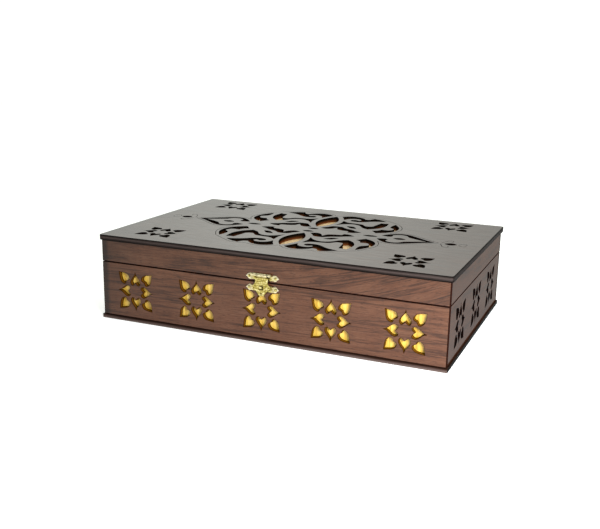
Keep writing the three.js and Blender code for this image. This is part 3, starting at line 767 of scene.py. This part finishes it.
def rosetteCuts(x, y):
    centre = Vector((x, y))
    cuts = []
    for quarter in range(4):
        angle = quarter * math.pi / 2
        cuts.append(petal(centre, angle, rosette["reach"], uprightPetal))
        cuts.append(petal(centre, angle + math.pi / 4, rosette["diagonalReach"], diagonalPetal))
    return cuts


def rosettePlaces(length):
    gaps = int((length - 2 * rosette["endMargin"]) // rosette["pitch"])
    return [(i - gaps / 2) * rosette["pitch"] for i in range(gaps + 1)]


# Base boards and lid rails

board = {
    "edgeRound": 0.3, "leastRound": 0.05, "cutRound": 0.15, "nailHole": 0.8,
    "scorch": 0.12,               # the beam browned the veneer this far beside each cut
    "taper": 0.09,                # and its cuts narrow towards the back
}


def boardPiece(name, node, face, body, wood, pierced=False, nails=()):
    along, up, _ = facing[face]
    length, height, thickness, place = nodeOnFace(node, face)
    cuts = []
    for nailNode in nails:
        offset = nodeMiddle(nailNode) - nodeMiddle(node)
        cuts.append(circle(offset.dot(along), offset.dot(up), board["nailHole"]))
    if pierced:
        cuts += [cut for x in rosettePlaces(length) for cut in rosetteCuts(x, 0)]

    def outline(inset):
        corner = max(board["edgeRound"] - inset, board["leastRound"])
        return roundedRectangle(length - 2 * inset, height - 2 * inset, corner, 2)

    # the cuts in front of the gold lining get walls with the painted gold reflection
    holeEdge = "petalCharAndGoldBounce" if wood == "longWalnut" else "sootEdge"
    piece = sheetPiece(name, outline, cuts, thickness, place, [wood, "boardEdge", holeEdge],
                       board["edgeRound"], board["cutRound"], scorch=board["scorch"], taper=board["taper"])
    settle(piece, body, "walnut_veneer", node)


hingeSides = ("left", "right")
haspNails = {row: [f"hasp_{row}_nail_{i}" for i in (1, 2)] for row in ("hinge", "catch")}
leafNails = {row: [f"{side}_{row}_leaf_nail_{i}" for side in hingeSides for i in (1, 2)]
             for row in ("base", "lid")}

boardPiece("frontBoard", "base_front_board", "front", "base", "longWalnut", True, haspNails["catch"])
boardPiece("backBoard", "base_back_board", "back", "base", "longWalnut", True, leafNails["base"])
boardPiece("leftBoard", "base_left_board", "left", "base", "crossWalnut", True)
boardPiece("rightBoard", "base_right_board", "right", "base", "crossWalnut", True)
boardPiece("frontRail", "lid_front_rail", "front", "lid", "railWalnut", False, haspNails["hinge"])
boardPiece("backRail", "lid_back_rail", "back", "lid", "railWalnut", False, leafNails["lid"])
boardPiece("leftRail", "lid_left_rail", "left", "lid", "crossWalnut")
boardPiece("rightRail", "lid_right_rail", "right", "lid", "crossWalnut")
print("boards and rails cut")


# Foot plate and lid plate

plates = {
    "lid": {"corner": 2.5, "edgeRound": 0.5},
    "foot": {"corner": 1, "edgeRound": 0.35},
    "cutRound": 0.12,
}

pattern = {
    "setback": 2.6,               # the lid's pattern lies this far behind the plate's middle
    "cornerInset": (41.2, 27.9),
    "endMargin": 39.6,
    "sideMargin": 24.7,
}

# One quarter of the medallion. A cut is a ring of strokes, each a smooth curve between two corners.
quarterCuts = {
    "outerCrescent": [
        [(55, 12.8), (62.3, 18), (67, 25), (68.4, 33.5), (66.8, 43), (60.4, 54.6)],
        [(60.4, 54.6), (59.2, 47.5), (59.8, 40.5), (64.6, 35), (62, 28.6), (55.4, 28.4)],
        [(55.4, 28.4), (53.4, 23.6), (49.2, 20.6)],
        [(49.2, 20.6), (55, 12.8)]],
    "innerScroll": [
        [(43.6, 24), (50.4, 31), (54.4, 42), (53.2, 56.4)],
        [(53.2, 56.4), (50, 55), (46.6, 55)],
        [(46.6, 55), (45, 44), (43.6, 37.4), (38, 36), (33, 41.4), (25.4, 43), (18.6, 44.2), (12.6, 49)],
        [(12.6, 49), (13.4, 38), (11.8, 28.4)],
        [(11.8, 28.4), (17.4, 35.4), (25, 38.8), (32, 36), (37.6, 28.4), (43.6, 24)]],
    "spiral": [
        [(49, 63.4), (42, 68.6), (35, 71.4)],
        [(35, 71.4), (32.4, 66), (28.4, 64.6)],
        [(28.4, 64.6), (25.4, 68.4), (21, 71.4), (14.6, 72.8), (8.4, 70.6), (4.8, 67)],
        [(4.8, 67), (8.2, 60.6), (11, 54)],
        [(11, 54), (13.2, 59.6), (18, 62.8), (23.6, 62.2), (26.2, 58.8), (24.4, 56.6)],
        [(24.4, 56.6), (20.4, 58.4), (17.2, 55.4), (19, 51.8), (24, 50.8), (29.6, 52.6), (38.6, 59.4),
         (49, 63.4)]],
    "strapEye": [
        [(34.2, 21.6), (28.6, 22), (22.8, 28.6)],
        [(22.8, 28.6), (29.4, 28.4), (34.2, 21.6)]],
    "starBand": [
        [(43.4, 8.6), (37, 12), (32.4, 15.6), (25.8, 18.6), (20.6, 23.4)],
        [(20.6, 23.4), (12.6, 23), (8.4, 17), (4.6, 12.4)],
        [(4.6, 12.4), (10, 9.8), (14.6, 12.6), (18.2, 18.8)],
        [(18.2, 18.8), (20, 12.4), (25.4, 9.4), (31.6, 8.2), (32.4, 3.8)],
        [(32.4, 3.8), (37.6, 4.4), (43.4, 8.6)]],
}
endLeafOutside = [[(62.4, 6.4), (67, 13), (74.6, 18.6), (83.4, 18), (93, 11.6), (102, 4.8), (110, 0)]]
endLeafTrefoil = [
    [(103, 0), (95, 3.6), (86, 8.6)],
    [(86, 8.6), (82.4, 13.8), (76.2, 15), (71.4, 11.6), (71.6, 6.4), (69, 4.4)],
    [(69, 4.4), (62.4, 6.4)]]

# Leaves with two pointed ends, as (distance from the middle, half length, half width)
slotsAlongLength = [(54.4, 6.6, 2.6), (80, 5.4, 3), (123.4, 5.2, 3.8)]
vesica = (39.8, 25, 8.7)          # stands across the lid's length
centreSlot = (5.8, 5.2, 2.6)      # lies beside the middle
slotSteps, vesicaSteps = 12, 40   # along each side

# One quarter of the fine engraved lines: round the medallion, and curls beside the end slots
hairlines = [
    [(113.2, 0.6), (103.4, 6.9), (94.4, 13.7), (84.2, 20.6), (74.2, 21.4), (66.4, 17)],
    [(66.2, 17.4), (69.8, 24.3), (71.2, 33.6), (69.3, 44), (62.6, 56.6)],
    [(62, 57.2), (55, 62.5), (50.8, 65.8), (43.4, 71), (36.2, 73.9)],
    [(35.4, 73.9), (28, 72), (21.4, 74.2), (14.4, 75.5), (7, 73.2), (2.9, 69.5), (0.4, 67.5)],
    [(115.4, 1.4), (116.8, 6), (119, 11), (121.6, 13), (123.6, 10.6), (122.6, 7.4)],
    [(130, 0.8), (132, 3.8), (135.2, 4), (136.6, 1.4)],
]
hairline = 0.5                    # width; the real lines are about 0.3 wide, drawn coarser so that they show


def lens(middle, halfLength, halfWidth, steps):
    # a leaf with two pointed ends, lying along X
    points = []
    for side in (1, -1):
        for i in range(steps):
            along = side * (1 - 2 * i / steps)
            points.append(Vector((middle + halfLength * along, side * halfWidth * (1 - along * along))))
    return points


def patternFit(width, depth):
    drawnLength = endLeafOutside[0][-1][0]
    drawnDepth = max(y for line in quarterCuts["spiral"] for _, y in line)
    scaleX = (width / 2 - pattern["endMargin"]) / drawnLength
    scaleY = (depth / 2 - pattern["sideMargin"]) / drawnDepth
    return lambda points, sideX, sideY: [
        Vector((p.x * sideX * scaleX, p.y * sideY * scaleY + pattern["setback"])) for p in points]


def grooveStrip(points):
    left, right = [], []
    for i, point in enumerate(points):
        ahead = points[min(i + 1, len(points) - 1)] - points[max(i - 1, 0)]
        ahead.normalize()
        half = hairline / (4 if i in (0, len(points) - 1) else 2)     # half as wide at both ends
        sideways = Vector((-ahead.y, ahead.x)) * half
        left.append(point + sideways)
        right.append(point - sideways)
    return left + right[::-1]


def hairlineStrips(width, depth):
    fitted = patternFit(width, depth)
    lines = [smoothStroke(line) + [Vector(line[-1])] for line in hairlines]
    return [grooveStrip(fitted(line, sideX, sideY))
            for line in lines for sideX in (1, -1) for sideY in (1, -1)]


def medallionCuts(width, depth):
    quarters = [[p for line in lines for p in smoothStroke(line)] for lines in quarterCuts.values()]
    outside = [p for line in endLeafOutside for p in smoothStroke(line)] + [Vector(endLeafOutside[0][-1])]
    trefoil = [p for line in endLeafTrefoil for p in smoothStroke(line)]
    fitted = patternFit(width, depth)

    def mirrored(points):
        return [Vector((p.x, -p.y)) for p in reversed(points)]

    leaf = outside + mirrored(outside[:-1]) + mirrored(trefoil) + trefoil[1:]
    cuts = []
    for sideX in (1, -1):
        cuts += [fitted(points, sideX, sideY) for points in quarters for sideY in (1, -1)]
        cuts.append(fitted(leaf, sideX, 1))
        cuts += [fitted(lens(*slot, slotSteps), sideX, 1) for slot in slotsAlongLength]
    upright = [Vector((p.y, p.x)) for p in lens(*vesica, vesicaSteps)]
    centreY, halfLength, halfWidth = centreSlot
    across = [p + Vector((0, centreY)) for p in lens(0, halfLength, halfWidth, slotSteps)]
    for sideY in (1, -1):
        cuts.append(fitted(upright, 1, sideY))
        cuts.append(fitted(across, 1, sideY))
    return cuts


def platePiece(which, body, cuts, grooves=()):
    node = f"{which}_plate"
    width, depth, thickness, place = nodeOnFace(node, "top")
    outline = roundedRectangle(width, depth, plates[which]["corner"])
    materials = [f"{which}Walnut", f"{which}Edge", "lidCutEdge"]
    piece = sheetPiece(f"{which}Plate", outline, cuts, thickness, place, materials,
                       plates[which]["edgeRound"], plates["cutRound"], grooves=grooves)
    settle(piece, body, "walnut_veneer", node)


lidWidth, lidDepth, *_ = nodeOnFace("lid_plate", "top")
cornerX, cornerY = lidWidth / 2 - pattern["cornerInset"][0], lidDepth / 2 - pattern["cornerInset"][1]
lidCuts = medallionCuts(lidWidth, lidDepth)
for x in (-cornerX, cornerX):
    for y in (-cornerY, cornerY):
        lidCuts += rosetteCuts(x, y + pattern["setback"])
platePiece("lid", "lid", lidCuts, hairlineStrips(lidWidth, lidDepth))
platePiece("foot", "base", [])
print("lid and foot cut")


# Linings and backing

lining = {
    "ripple": 0.22,               # depth of the cloth's soft ripples
    "rippleLength": 4.3,
    "columnSpacing": 1.2, "leastColumns": 8,
    "rowSpacing": 4, "leastRows": 6,
    "edgeSink": 0.3,              # how far the cloth is drawn in at its edge, as a share of the thickness
    "sideShift": 37,              # so that the two sides don't ripple alike
    # each wave's height, its length as a share of the ripple's, its start, and how it sways:
    # how much, over what height, and how much faster with each millimetre along
    "waves": [(1, 1, 0, 0.7, 11, 0), (0.6, 1.73, 1.1, 0.5, 17, 0.025), (0.4, 0.61, 2.3, 0, 1, 0)],
    "backingCorner": 0.5,
}


def ripple(u, v):
    total = 0
    for height, length, start, sway, swayHeight, drift in lining["waves"]:
        swayed = start + sway * math.sin(v / swayHeight + drift * u)
        total += height * math.sin(2 * math.pi * u / (lining["rippleLength"] * length) + swayed)
    return 0.5 + total / 4


def liningPiece(which, face, satinName):
    node = f"{which}_lining"
    length, height, thickness, place = nodeOnFace(node, face)
    columns = max(lining["leastColumns"], round(length / lining["columnSpacing"]))
    rows = max(lining["leastRows"], round(height / lining["rowSpacing"]))
    wide = columns + 1            # points in a row
    vertices, faces = [], []
    for side in (0, 1):
        for j in range(rows + 1):
            for i in range(wide):
                u = (i / columns - 0.5) * length
                v = (j / rows - 0.5) * height
                if i in (0, columns) or j in (0, rows):
                    sink = thickness * lining["edgeSink"]
                else:
                    sink = lining["ripple"] * ripple(u + lining["sideShift"] * side, v)
                vertices.append(place(u, v, thickness - sink if side else sink))
    layer = wide * (rows + 1)
    for side in (0, 1):
        for j in range(rows):
            for i in range(columns):
                a = side * layer + j * wide + i
                quad = (a, a + 1, a + wide + 1, a + wide)
                faces.append(quad if side else quad[::-1])
    rim = ([i for i in range(columns)] + [columns + j * wide for j in range(rows)]
           + [rows * wide + columns - i for i in range(columns)] + [(rows - j) * wide for j in range(rows)])
    for a, b in zip(rim, rim[1:] + rim[:1]):
        faces.append((a, b, b + layer, a + layer))
    mesh = newMesh(f"{which}Lining", vertices, faces, [satinName])
    mesh.shade_smooth()
    settle(linkPiece(f"{which}Lining", mesh), "base", "gold_lining", node)


for face in ("front", "back", "left", "right"):
    liningPiece(face, face, "uprightSatin")
liningPiece("floor", "top", "flatSatin")

backWidth, backDepth, backThickness, backPlace = nodeOnFace("lid_backing", "top")
backing = sheetPiece("lidBacking", roundedRectangle(backWidth, backDepth, lining["backingCorner"]), [],
                     backThickness, backPlace, ["bareFibreboard"])
settle(backing, "lid", "raw_board", "lid_backing")
print("linings laid")


# Round pieces: pins and nails

def turnedPiece(node, profile, start, axis, body):
    # profile is [radius, distance along the axis] from one end to the other
    steps = 28
    side = axis.orthogonal().normalized()
    other = axis.cross(side)
    vertices, faces = [], []
    for radius, along in profile:
        for i in range(steps):
            angle = 2 * math.pi * i / steps
            spoke = side * math.cos(angle) + other * math.sin(angle)
            vertices.append((start + axis * along + spoke * radius) * mm)
    for row in range(len(profile) - 1):
        for i in range(steps):
            a, b = row * steps + i, row * steps + (i + 1) % steps
            faces.append((a, b, b + steps, a + steps))
    faces.append(list(range(steps))[::-1])
    last = (len(profile) - 1) * steps
    faces.append(list(range(last, last + steps)))
    name = node.replace("_", "-") + "-brass"
    mesh = newMesh(name, vertices, faces, ["pressedBrass"])
    mesh.shade_smooth()
    mesh.set_sharp_from_angle(angle=math.radians(smoothUpTo["turned"]))
    settle(linkPiece(name, mesh), body, "pressed_brass", node)


nail = {
    "headHeight": 0.55, "headRadius": 1.15, "shankRadius": 0.5, "tipRadius": 0.05,
    "rim": 0.25,                  # share of the head's height below its dome
    "underside": 0.97,            # share of the head's radius
    "domeStep": 10, "domeSteps": 9,           # degrees, and how many of them, up to near the top
}
pinEnd = 0.25                     # how much of a pin's radius its ends are rounded off


def nailPiece(node, out, body):
    low, high = nodeBox(node)
    length = high.y - low.y
    head, radius, shank = nail["headHeight"], nail["headRadius"], nail["shankRadius"]
    neck = length - head
    rim, rise = neck + head * nail["rim"], head * (1 - nail["rim"])
    angles = (math.radians(nail["domeStep"] * i) for i in range(nail["domeSteps"]))
    dome = [(radius * math.cos(a), rim + rise * math.sin(a)) for a in angles]
    profile = [(nail["tipRadius"], 0), (shank, 2 * shank), (shank, neck), (radius * nail["underside"], neck)]
    start = (low + high) / 2 - Vector((0, out * length / 2, 0))
    turnedPiece(node, profile + dome, start, Vector((0, out, 0)), body)


def pinPiece(node, body):
    low, high = nodeBox(node)
    middle = (low + high) / 2
    radius = (high.z - low.z) / 2
    length = high.x - low.x
    soft = radius * pinEnd
    profile = [(radius - soft, 0), (radius, soft), (radius, length - soft), (radius - soft, length)]
    turnedPiece(node, profile, Vector((low.x, middle.y, middle.z)), Vector((1, 0, 0)), body)


for nodes, out, body in ((haspNails["hinge"], -1, "lid"), (haspNails["catch"], -1, "base"),
                         (leafNails["base"], 1, "base"), (leafNails["lid"], 1, "lid")):
    for node in nodes:
        nailPiece(node, out, body)
pinPiece("hasp_pin", "lid")
for side in hingeSides:
    pinPiece(f"{side}_hinge_pin", "base")
print("nails and pins set")


# Hinges. A rolled knuckle is drawn as a section across the pin: y runs to the back, z up

roll = {"steps": 26, "boreSteps": 24, "edgeRound": 0.08, "boreRound": 0.06}

hinge = {
    "thickness": 0.8, "bore": 1.05, "knuckle": 1.5, "middleKnuckle": 8, "clearance": 0.3,
    "leafBack": -1.7,             # the leaf's face on the board, behind the pin's axis
    "leafStart": 1.8, "cornerRound": 1.2, "edgeRound": 0.12, "nailHole": 0.8,
    "webLap": 0.9,                # the rolled part reaches this far up the leaf
    "rollStart": 190, "rollFoot": 0.2,        # where the sheet's free end comes back to the leaf
    "heelReach": 2.3, "heelAngle": 1, "heelRoot": 17.5, "heelTip": 0.12,     # the rib that stops the lid
    "belowHeel": 14, "aboveHeel": 10,         # steps of the roll on both sides of it
}


def hingeSection(row):
    leafFront = hinge["leafBack"] + hinge["thickness"]
    meeting = math.degrees(math.acos(leafFront / hinge["knuckle"]))
    if row == "lid":
        tip = math.radians(hinge["heelAngle"])
        heel = [Vector((hinge["heelReach"] * math.cos(tip), hinge["heelReach"] * math.sin(tip) + lift))
                for lift in (-hinge["heelTip"], hinge["heelTip"])]
        before = arc(hinge["knuckle"], hinge["rollStart"], 360 + hinge["heelAngle"] - hinge["heelRoot"],
                     hinge["belowHeel"])
        after = arc(hinge["knuckle"], hinge["heelAngle"] + hinge["heelRoot"], meeting, hinge["aboveHeel"])
        outline = before + heel + after
    else:
        outline = arc(hinge["knuckle"], hinge["rollStart"], 360 + meeting, roll["steps"])
    web = hinge["leafStart"] + hinge["webLap"]
    outline += [Vector((leafFront, web)), Vector((hinge["leafBack"], web)),
                Vector((hinge["leafBack"], hinge["rollFoot"]))]
    up = 1 if row == "lid" else -1
    return [Vector((p.x, p.y * up)) for p in outline]


def rolledKnuckle(section, pin, start, end, bore, finish):
    return sheetPiece("knuckle", section, [circle(0, 0, bore, roll["boreSteps"])], end - start,
                      placer("section", Vector((pin.x + start, pin.y, pin.z))), [finish],
                      roll["edgeRound"], roll["boreRound"])


def hingeLeaf(side, row, body):
    node = f"{side}_hinge_{row}_leaf"
    low, high = nodeBox(node)
    pin = nodeMiddle(f"{side}_hinge_pin")
    up = 1 if row == "lid" else -1
    width = high.x - low.x
    reach = (high.z - pin.z) if up > 0 else (pin.z - low.z)
    height = reach - hinge["leafStart"]
    middleZ = pin.z + up * (hinge["leafStart"] + height / 2)
    holes = []
    for i in (1, 2):
        offset = nodeMiddle(f"{side}_{row}_leaf_nail_{i}") - Vector((pin.x, 0, middleZ))
        holes.append(circle(-offset.x, offset.z, hinge["nailHole"]))
    place = placer("back", Vector((pin.x, pin.y + hinge["leafBack"], middleZ)))
    parts = [sheetPiece("leaf", roundedRectangle(width, height, hinge["cornerRound"]), holes,
                        hinge["thickness"], place, ["pressedBrass"], hinge["edgeRound"], hinge["edgeRound"])]
    half = hinge["middleKnuckle"] / 2
    outer = half + hinge["clearance"]
    spans = [(-half, half)] if row == "lid" else [(-width / 2, -outer), (outer, width / 2)]
    for start, end in spans:
        parts.append(rolledKnuckle(hingeSection(row), pin, start, end, hinge["bore"], "pressedBrass"))
    settle(joined(f"{side}-{row}-leaf-brass", parts), body, "pressed_brass", node)


for side in hingeSides:
    hingeLeaf(side, "base", "base")
    hingeLeaf(side, "lid", "lid")
print("hinges rolled")


# Hasp

hasp = {
    "sheet": 0.6, "knuckle": 1.35, "bore": 0.85, "flapKnuckle": 8.6, "pinLength": 15.6, "clearance": 0.3,
    "wingHalf": 2.6, "bodyHalf": 7.2, "nailReach": 11.4, "nailHole": 0.8,
    "pinAboveWings": 1.9, "earDrop": 0.5,     # the plate's ears end this far below the pin
    "crease": 0.35, "web": 1.9,
    "edgeRound": 0.2, "holeRound": 0.1,
    "relief": 0.2, "reliefGrid": 0.3, "flapReliefShift": 4,
    "leafRates": (2.9, 2),        # radians per millimetre across and up: the leaves are 1.1 wide and 1.6 long
    "bend": 0.5, "bendRate": 1.1,
    "slotMiddle": 10.1, "slotHalf": 1.7, "slotCorner": 0.3,
    "flapLength": 16.8, "tipHole": 1.9, "tipHoleRadius": 0.6,
    "hookWidth": 2.2, "hookThickness": 0.8, "hookNose": 1, "hookRound": 0.15,
}

# Half of the flap as [half width, drop below the pin]
flapHalf = [(6.3, 1.7), (5.7, 2.9), (5.4, 4.4), (5.5, 6), (6.5, 7.7), (7.8, 8.7), (8, 9.4), (7.4, 10.4),
            (6.2, 11.7), (4.6, 13), (3.5, 14.3), (2.9, 15.4), (2.1, 16.4), (0, 16.8)]

# One wing: from the notch beside the plate up round its lobe, and its flank in to the tip
wingNotch = (8.6, 1.6)
wingFlank = [(9.2, 2.3), (10, 2.6), (11, 2.6), (11.9, 2.3), (12.5, 1.5), (13.2, 0.9), (14.4, 0)]


def haspPlateOutline(topHalf, bottomHalf):
    flank = smoothStroke(wingFlank)
    tip = [Vector(wingFlank[-1])]
    wing = [Vector(wingNotch)] + flank + tip + [Vector((p.x, -p.y)) for p in reversed(flank)]
    right = [Vector(p) for p in topHalf] + wing + [Vector(p) for p in bottomHalf]
    return right + [Vector((-p.x, p.y)) for p in reversed(right)]


def pressedRelief(x, y):
    # leaves that lie slantwise both ways across the sheet, bent by a slow wave
    across, up = hasp["leafRates"]
    bend = hasp["bend"] * math.sin(hasp["bendRate"] * y)
    leaves = math.sin(across * x + up * y + bend) * math.sin(across * x - up * y - bend)
    return hasp["relief"] * (0.5 + 0.5 * leaves)


def pressedSheet(name, outline, holes, origin, relief):
    return sheetPiece(name, outline, holes, hasp["sheet"] - hasp["relief"], placer("front", origin),
                      ["haspBrass"], hasp["edgeRound"], hasp["holeRound"], hasp["reliefGrid"], relief)


def haspPlate(row, body, top, bottom, extras):
    node = f"hasp_{row}_plate"
    origin = Vector((nodeMiddle("hasp_pin").x, nodeBox(node)[1].y, nodeMiddle(haspNails[row][0]).z))
    holes = [circle(x, 0, hasp["nailHole"]) for x in (-hasp["nailReach"], hasp["nailReach"])]
    plate = pressedSheet("plate", haspPlateOutline(top, bottom), holes, origin, pressedRelief)
    settle(joined(f"hasp-{row}-plate-brass", [plate] + extras(origin)), body, "pressed_brass", node)


def haspKnuckle(start, end, mirror):
    # the sheet meets the roll on the casket's side, or on the other side where it is mirrored,
    # and a crease runs along the roll above the sheet
    front = hasp["knuckle"] - hasp["sheet"]
    creased = hasp["knuckle"] - hasp["crease"]
    meeting, first = (math.degrees(math.acos(x / hasp["knuckle"])) for x in (front, creased))
    outline = arc(hasp["knuckle"], -first, 360 - meeting, roll["steps"])
    outline += [Vector((front, -hasp["web"])), Vector((creased, -hasp["web"]))]
    section = [Vector((p.x * mirror, p.y)) for p in outline]
    return rolledKnuckle(section, nodeMiddle("hasp_pin"), start, end, hasp["bore"], "haspBrass")


outerStart = hasp["flapKnuckle"] / 2 + hasp["clearance"]
outerEnd = hasp["pinLength"] / 2
middleTop = hasp["pinAboveWings"] - hasp["knuckle"] - hasp["clearance"]
earTop = hasp["pinAboveWings"] - hasp["earDrop"]
haspPlate("hinge", "lid",
          [(outerStart, middleTop), (outerStart, earTop), (outerEnd, earTop)],
          [(hasp["bodyHalf"], -hasp["wingHalf"])],
          lambda origin: [haspKnuckle(outerStart, outerEnd, 1), haspKnuckle(-outerEnd, -outerStart, 1)])


def hookPart(origin):
    # a strip that stands out of the plate and turns up at its end
    rootY = origin.y - hasp["sheet"] / 2
    hookZ = nodeMiddle("hasp_pin").z - hasp["slotMiddle"]
    reach = rootY - nodeBox("hasp_catch_plate")[0].y
    thick = hasp["hookThickness"]
    nose = thick / 2 + hasp["hookNose"]
    outline = [(0, -thick / 2), (-reach, -thick / 2), (-reach, nose), (thick - reach, nose),
               (thick - reach, thick / 2), (0, thick / 2)]
    place = placer("section", Vector((origin.x - hasp["hookWidth"] / 2, rootY, hookZ)))
    return [sheetPiece("hook", [Vector(p) for p in outline], [], hasp["hookWidth"], place, ["pressedBrass"],
                       hasp["hookRound"])]


haspPlate("catch", "base", [(hasp["bodyHalf"], hasp["wingHalf"])], [(hasp["bodyHalf"], -hasp["wingHalf"])],
          hookPart)


def flapPiece():
    pin = nodeMiddle("hasp_pin")
    line = [(x, -drop) for x, drop in flapHalf]
    right = smoothStroke(line) + [Vector(line[-1])]
    left = [Vector((-p.x, p.y)) for p in reversed(right[:-1])]
    square = roundedRectangle(2 * hasp["slotHalf"], 2 * hasp["slotHalf"], hasp["slotCorner"])
    slot = [p - Vector((0, hasp["slotMiddle"])) for p in square]
    hole = circle(0, hasp["tipHole"] - hasp["flapLength"], hasp["tipHoleRadius"])
    origin = Vector((pin.x, pin.y - hasp["knuckle"] + hasp["sheet"], pin.z))
    sheet = pressedSheet("sheet", right + left, [slot, hole], origin,
                         lambda x, y: pressedRelief(x, y + hasp["flapReliefShift"]))
    half = hasp["flapKnuckle"] / 2
    piece = joined("hasp-flap-brass", [sheet, haspKnuckle(-half, half, -1)])
    settle(piece, "flap", "pressed_brass", "hasp_flap")


flapPiece()
print("hasp pressed")


# Studio

studio = {
    "floorSize": 4000, "floorColour": "#F4F4F3", "floorGlow": 0.3, "floorRoughness": 0.9,
    "light": "#FBFFF8",
    "horizon": 1.08,              # brightness of the white backdrop
    "overhead": 1.3,
    "softbox": {"place": (470, -520, 230), "aim": (200, -95, 20), "size": 240, "spread": 80, "power": 2.4,
                "colour": "#F3F9FF"},
}

# how brightness goes with direction: X to the right, Y away from the camera, Z up.
# Each row is the axis, the stretch of it and the brightness or share at both ends of the stretch
skyRamps = {
    "middleToRight": ("X", -0.42, -0.12, 1.25, 0.74),     # behind the casket, which the lid mirrors
    "leftEnd": ("X", -0.62, -0.42, 0.78, 1),
    "lowToHigh": ("Z", 0.17, 0.26, 0.76, 1.12),
    "beforeCasket": ("X", -0.7, 0.7, 0.04, 0.36),         # what stands behind the camera
    "frontToBack": ("Y", -0.2, 0.2, 0, 1),
    "overhead": ("Z", 0.4, 0.75, 0, 1),
    "aboveBackdrop": ("Z", 0.06, 0.09, 0, 1),             # the white backdrop ends here
}


def skyBrightness(tree):
    direction = addNode(tree, "TexCoord").outputs["Generated"]
    parts = addNode(tree, "SeparateXYZ", None, {"Vector": direction})
    ramps = {part: addNode(tree, "MapRange", dict(zip(rangeSockets, limits)), {"Value": parts.outputs[axis]})
             for part, (axis, *limits) in skyRamps.items()}
    behind = ramps["middleToRight"]
    for part in ("leftEnd", "lowToHigh"):
        behind = addNode(tree, "Math", {"operation": "MULTIPLY"}, {0: behind, 1: ramps[part]})
    around = addNode(tree, "Mix", {"data_type": "FLOAT"},
                     {0: ramps["frontToBack"], 2: ramps["beforeCasket"], 3: behind})
    above = addNode(tree, "Mix", {"data_type": "FLOAT", 3: studio["overhead"]},
                    {0: ramps["overhead"], 2: around})
    return addNode(tree, "Mix", {"data_type": "FLOAT", 2: studio["horizon"]},
                   {0: ramps["aboveBackdrop"], 3: above}).outputs[0]


def makeFloor():
    tree = newMaterial("paleFloor")
    finishMaterial(tree, {"Base Color": studio["floorColour"], "Roughness": studio["floorRoughness"],
                          "Emission Color": "#FFFFFF", "Emission Strength": studio["floorGlow"]}, {})
    half = studio["floorSize"] / 2 * mm
    corners = [(-half, -half, 0), (half, -half, 0), (half, half, 0), (-half, half, 0)]
    floor = linkPiece("studioFloor", newMesh("studioFloor", corners, [(0, 1, 2, 3)], ["paleFloor"]))


def makeLight():
    bpy.context.scene.view_settings.view_transform = "Standard"
    world = bpy.data.worlds.new("studioWorld")
    bpy.context.scene.world = world
    world.use_nodes = True
    background = world.node_tree.nodes["Background"]
    background.inputs["Color"].default_value = linear(studio["light"])
    world.node_tree.links.new(skyBrightness(world.node_tree), background.inputs["Strength"])
    softbox = studio["softbox"]
    light = bpy.data.lights.new("softbox", "AREA")
    light.shape = "SQUARE"
    light.size = softbox["size"] * mm
    light.energy = softbox["power"]
    light.color = linear(softbox["colour"])[:3]
    light.spread = math.radians(softbox["spread"])
    lamp = bpy.data.objects.new("softbox", light)
    place = Vector(softbox["place"]) * mm
    lamp.location = place
    lamp.rotation_euler = (Vector(softbox["aim"]) * mm - place).to_track_quat("-Z", "Y").to_euler()
    lamp.visible_glossy = False   # or it shows as a white patch on the lid, seen from behind
    bpy.context.scene.collection.objects.link(lamp)


makeFloor()
makeLight()
print("studio lit")
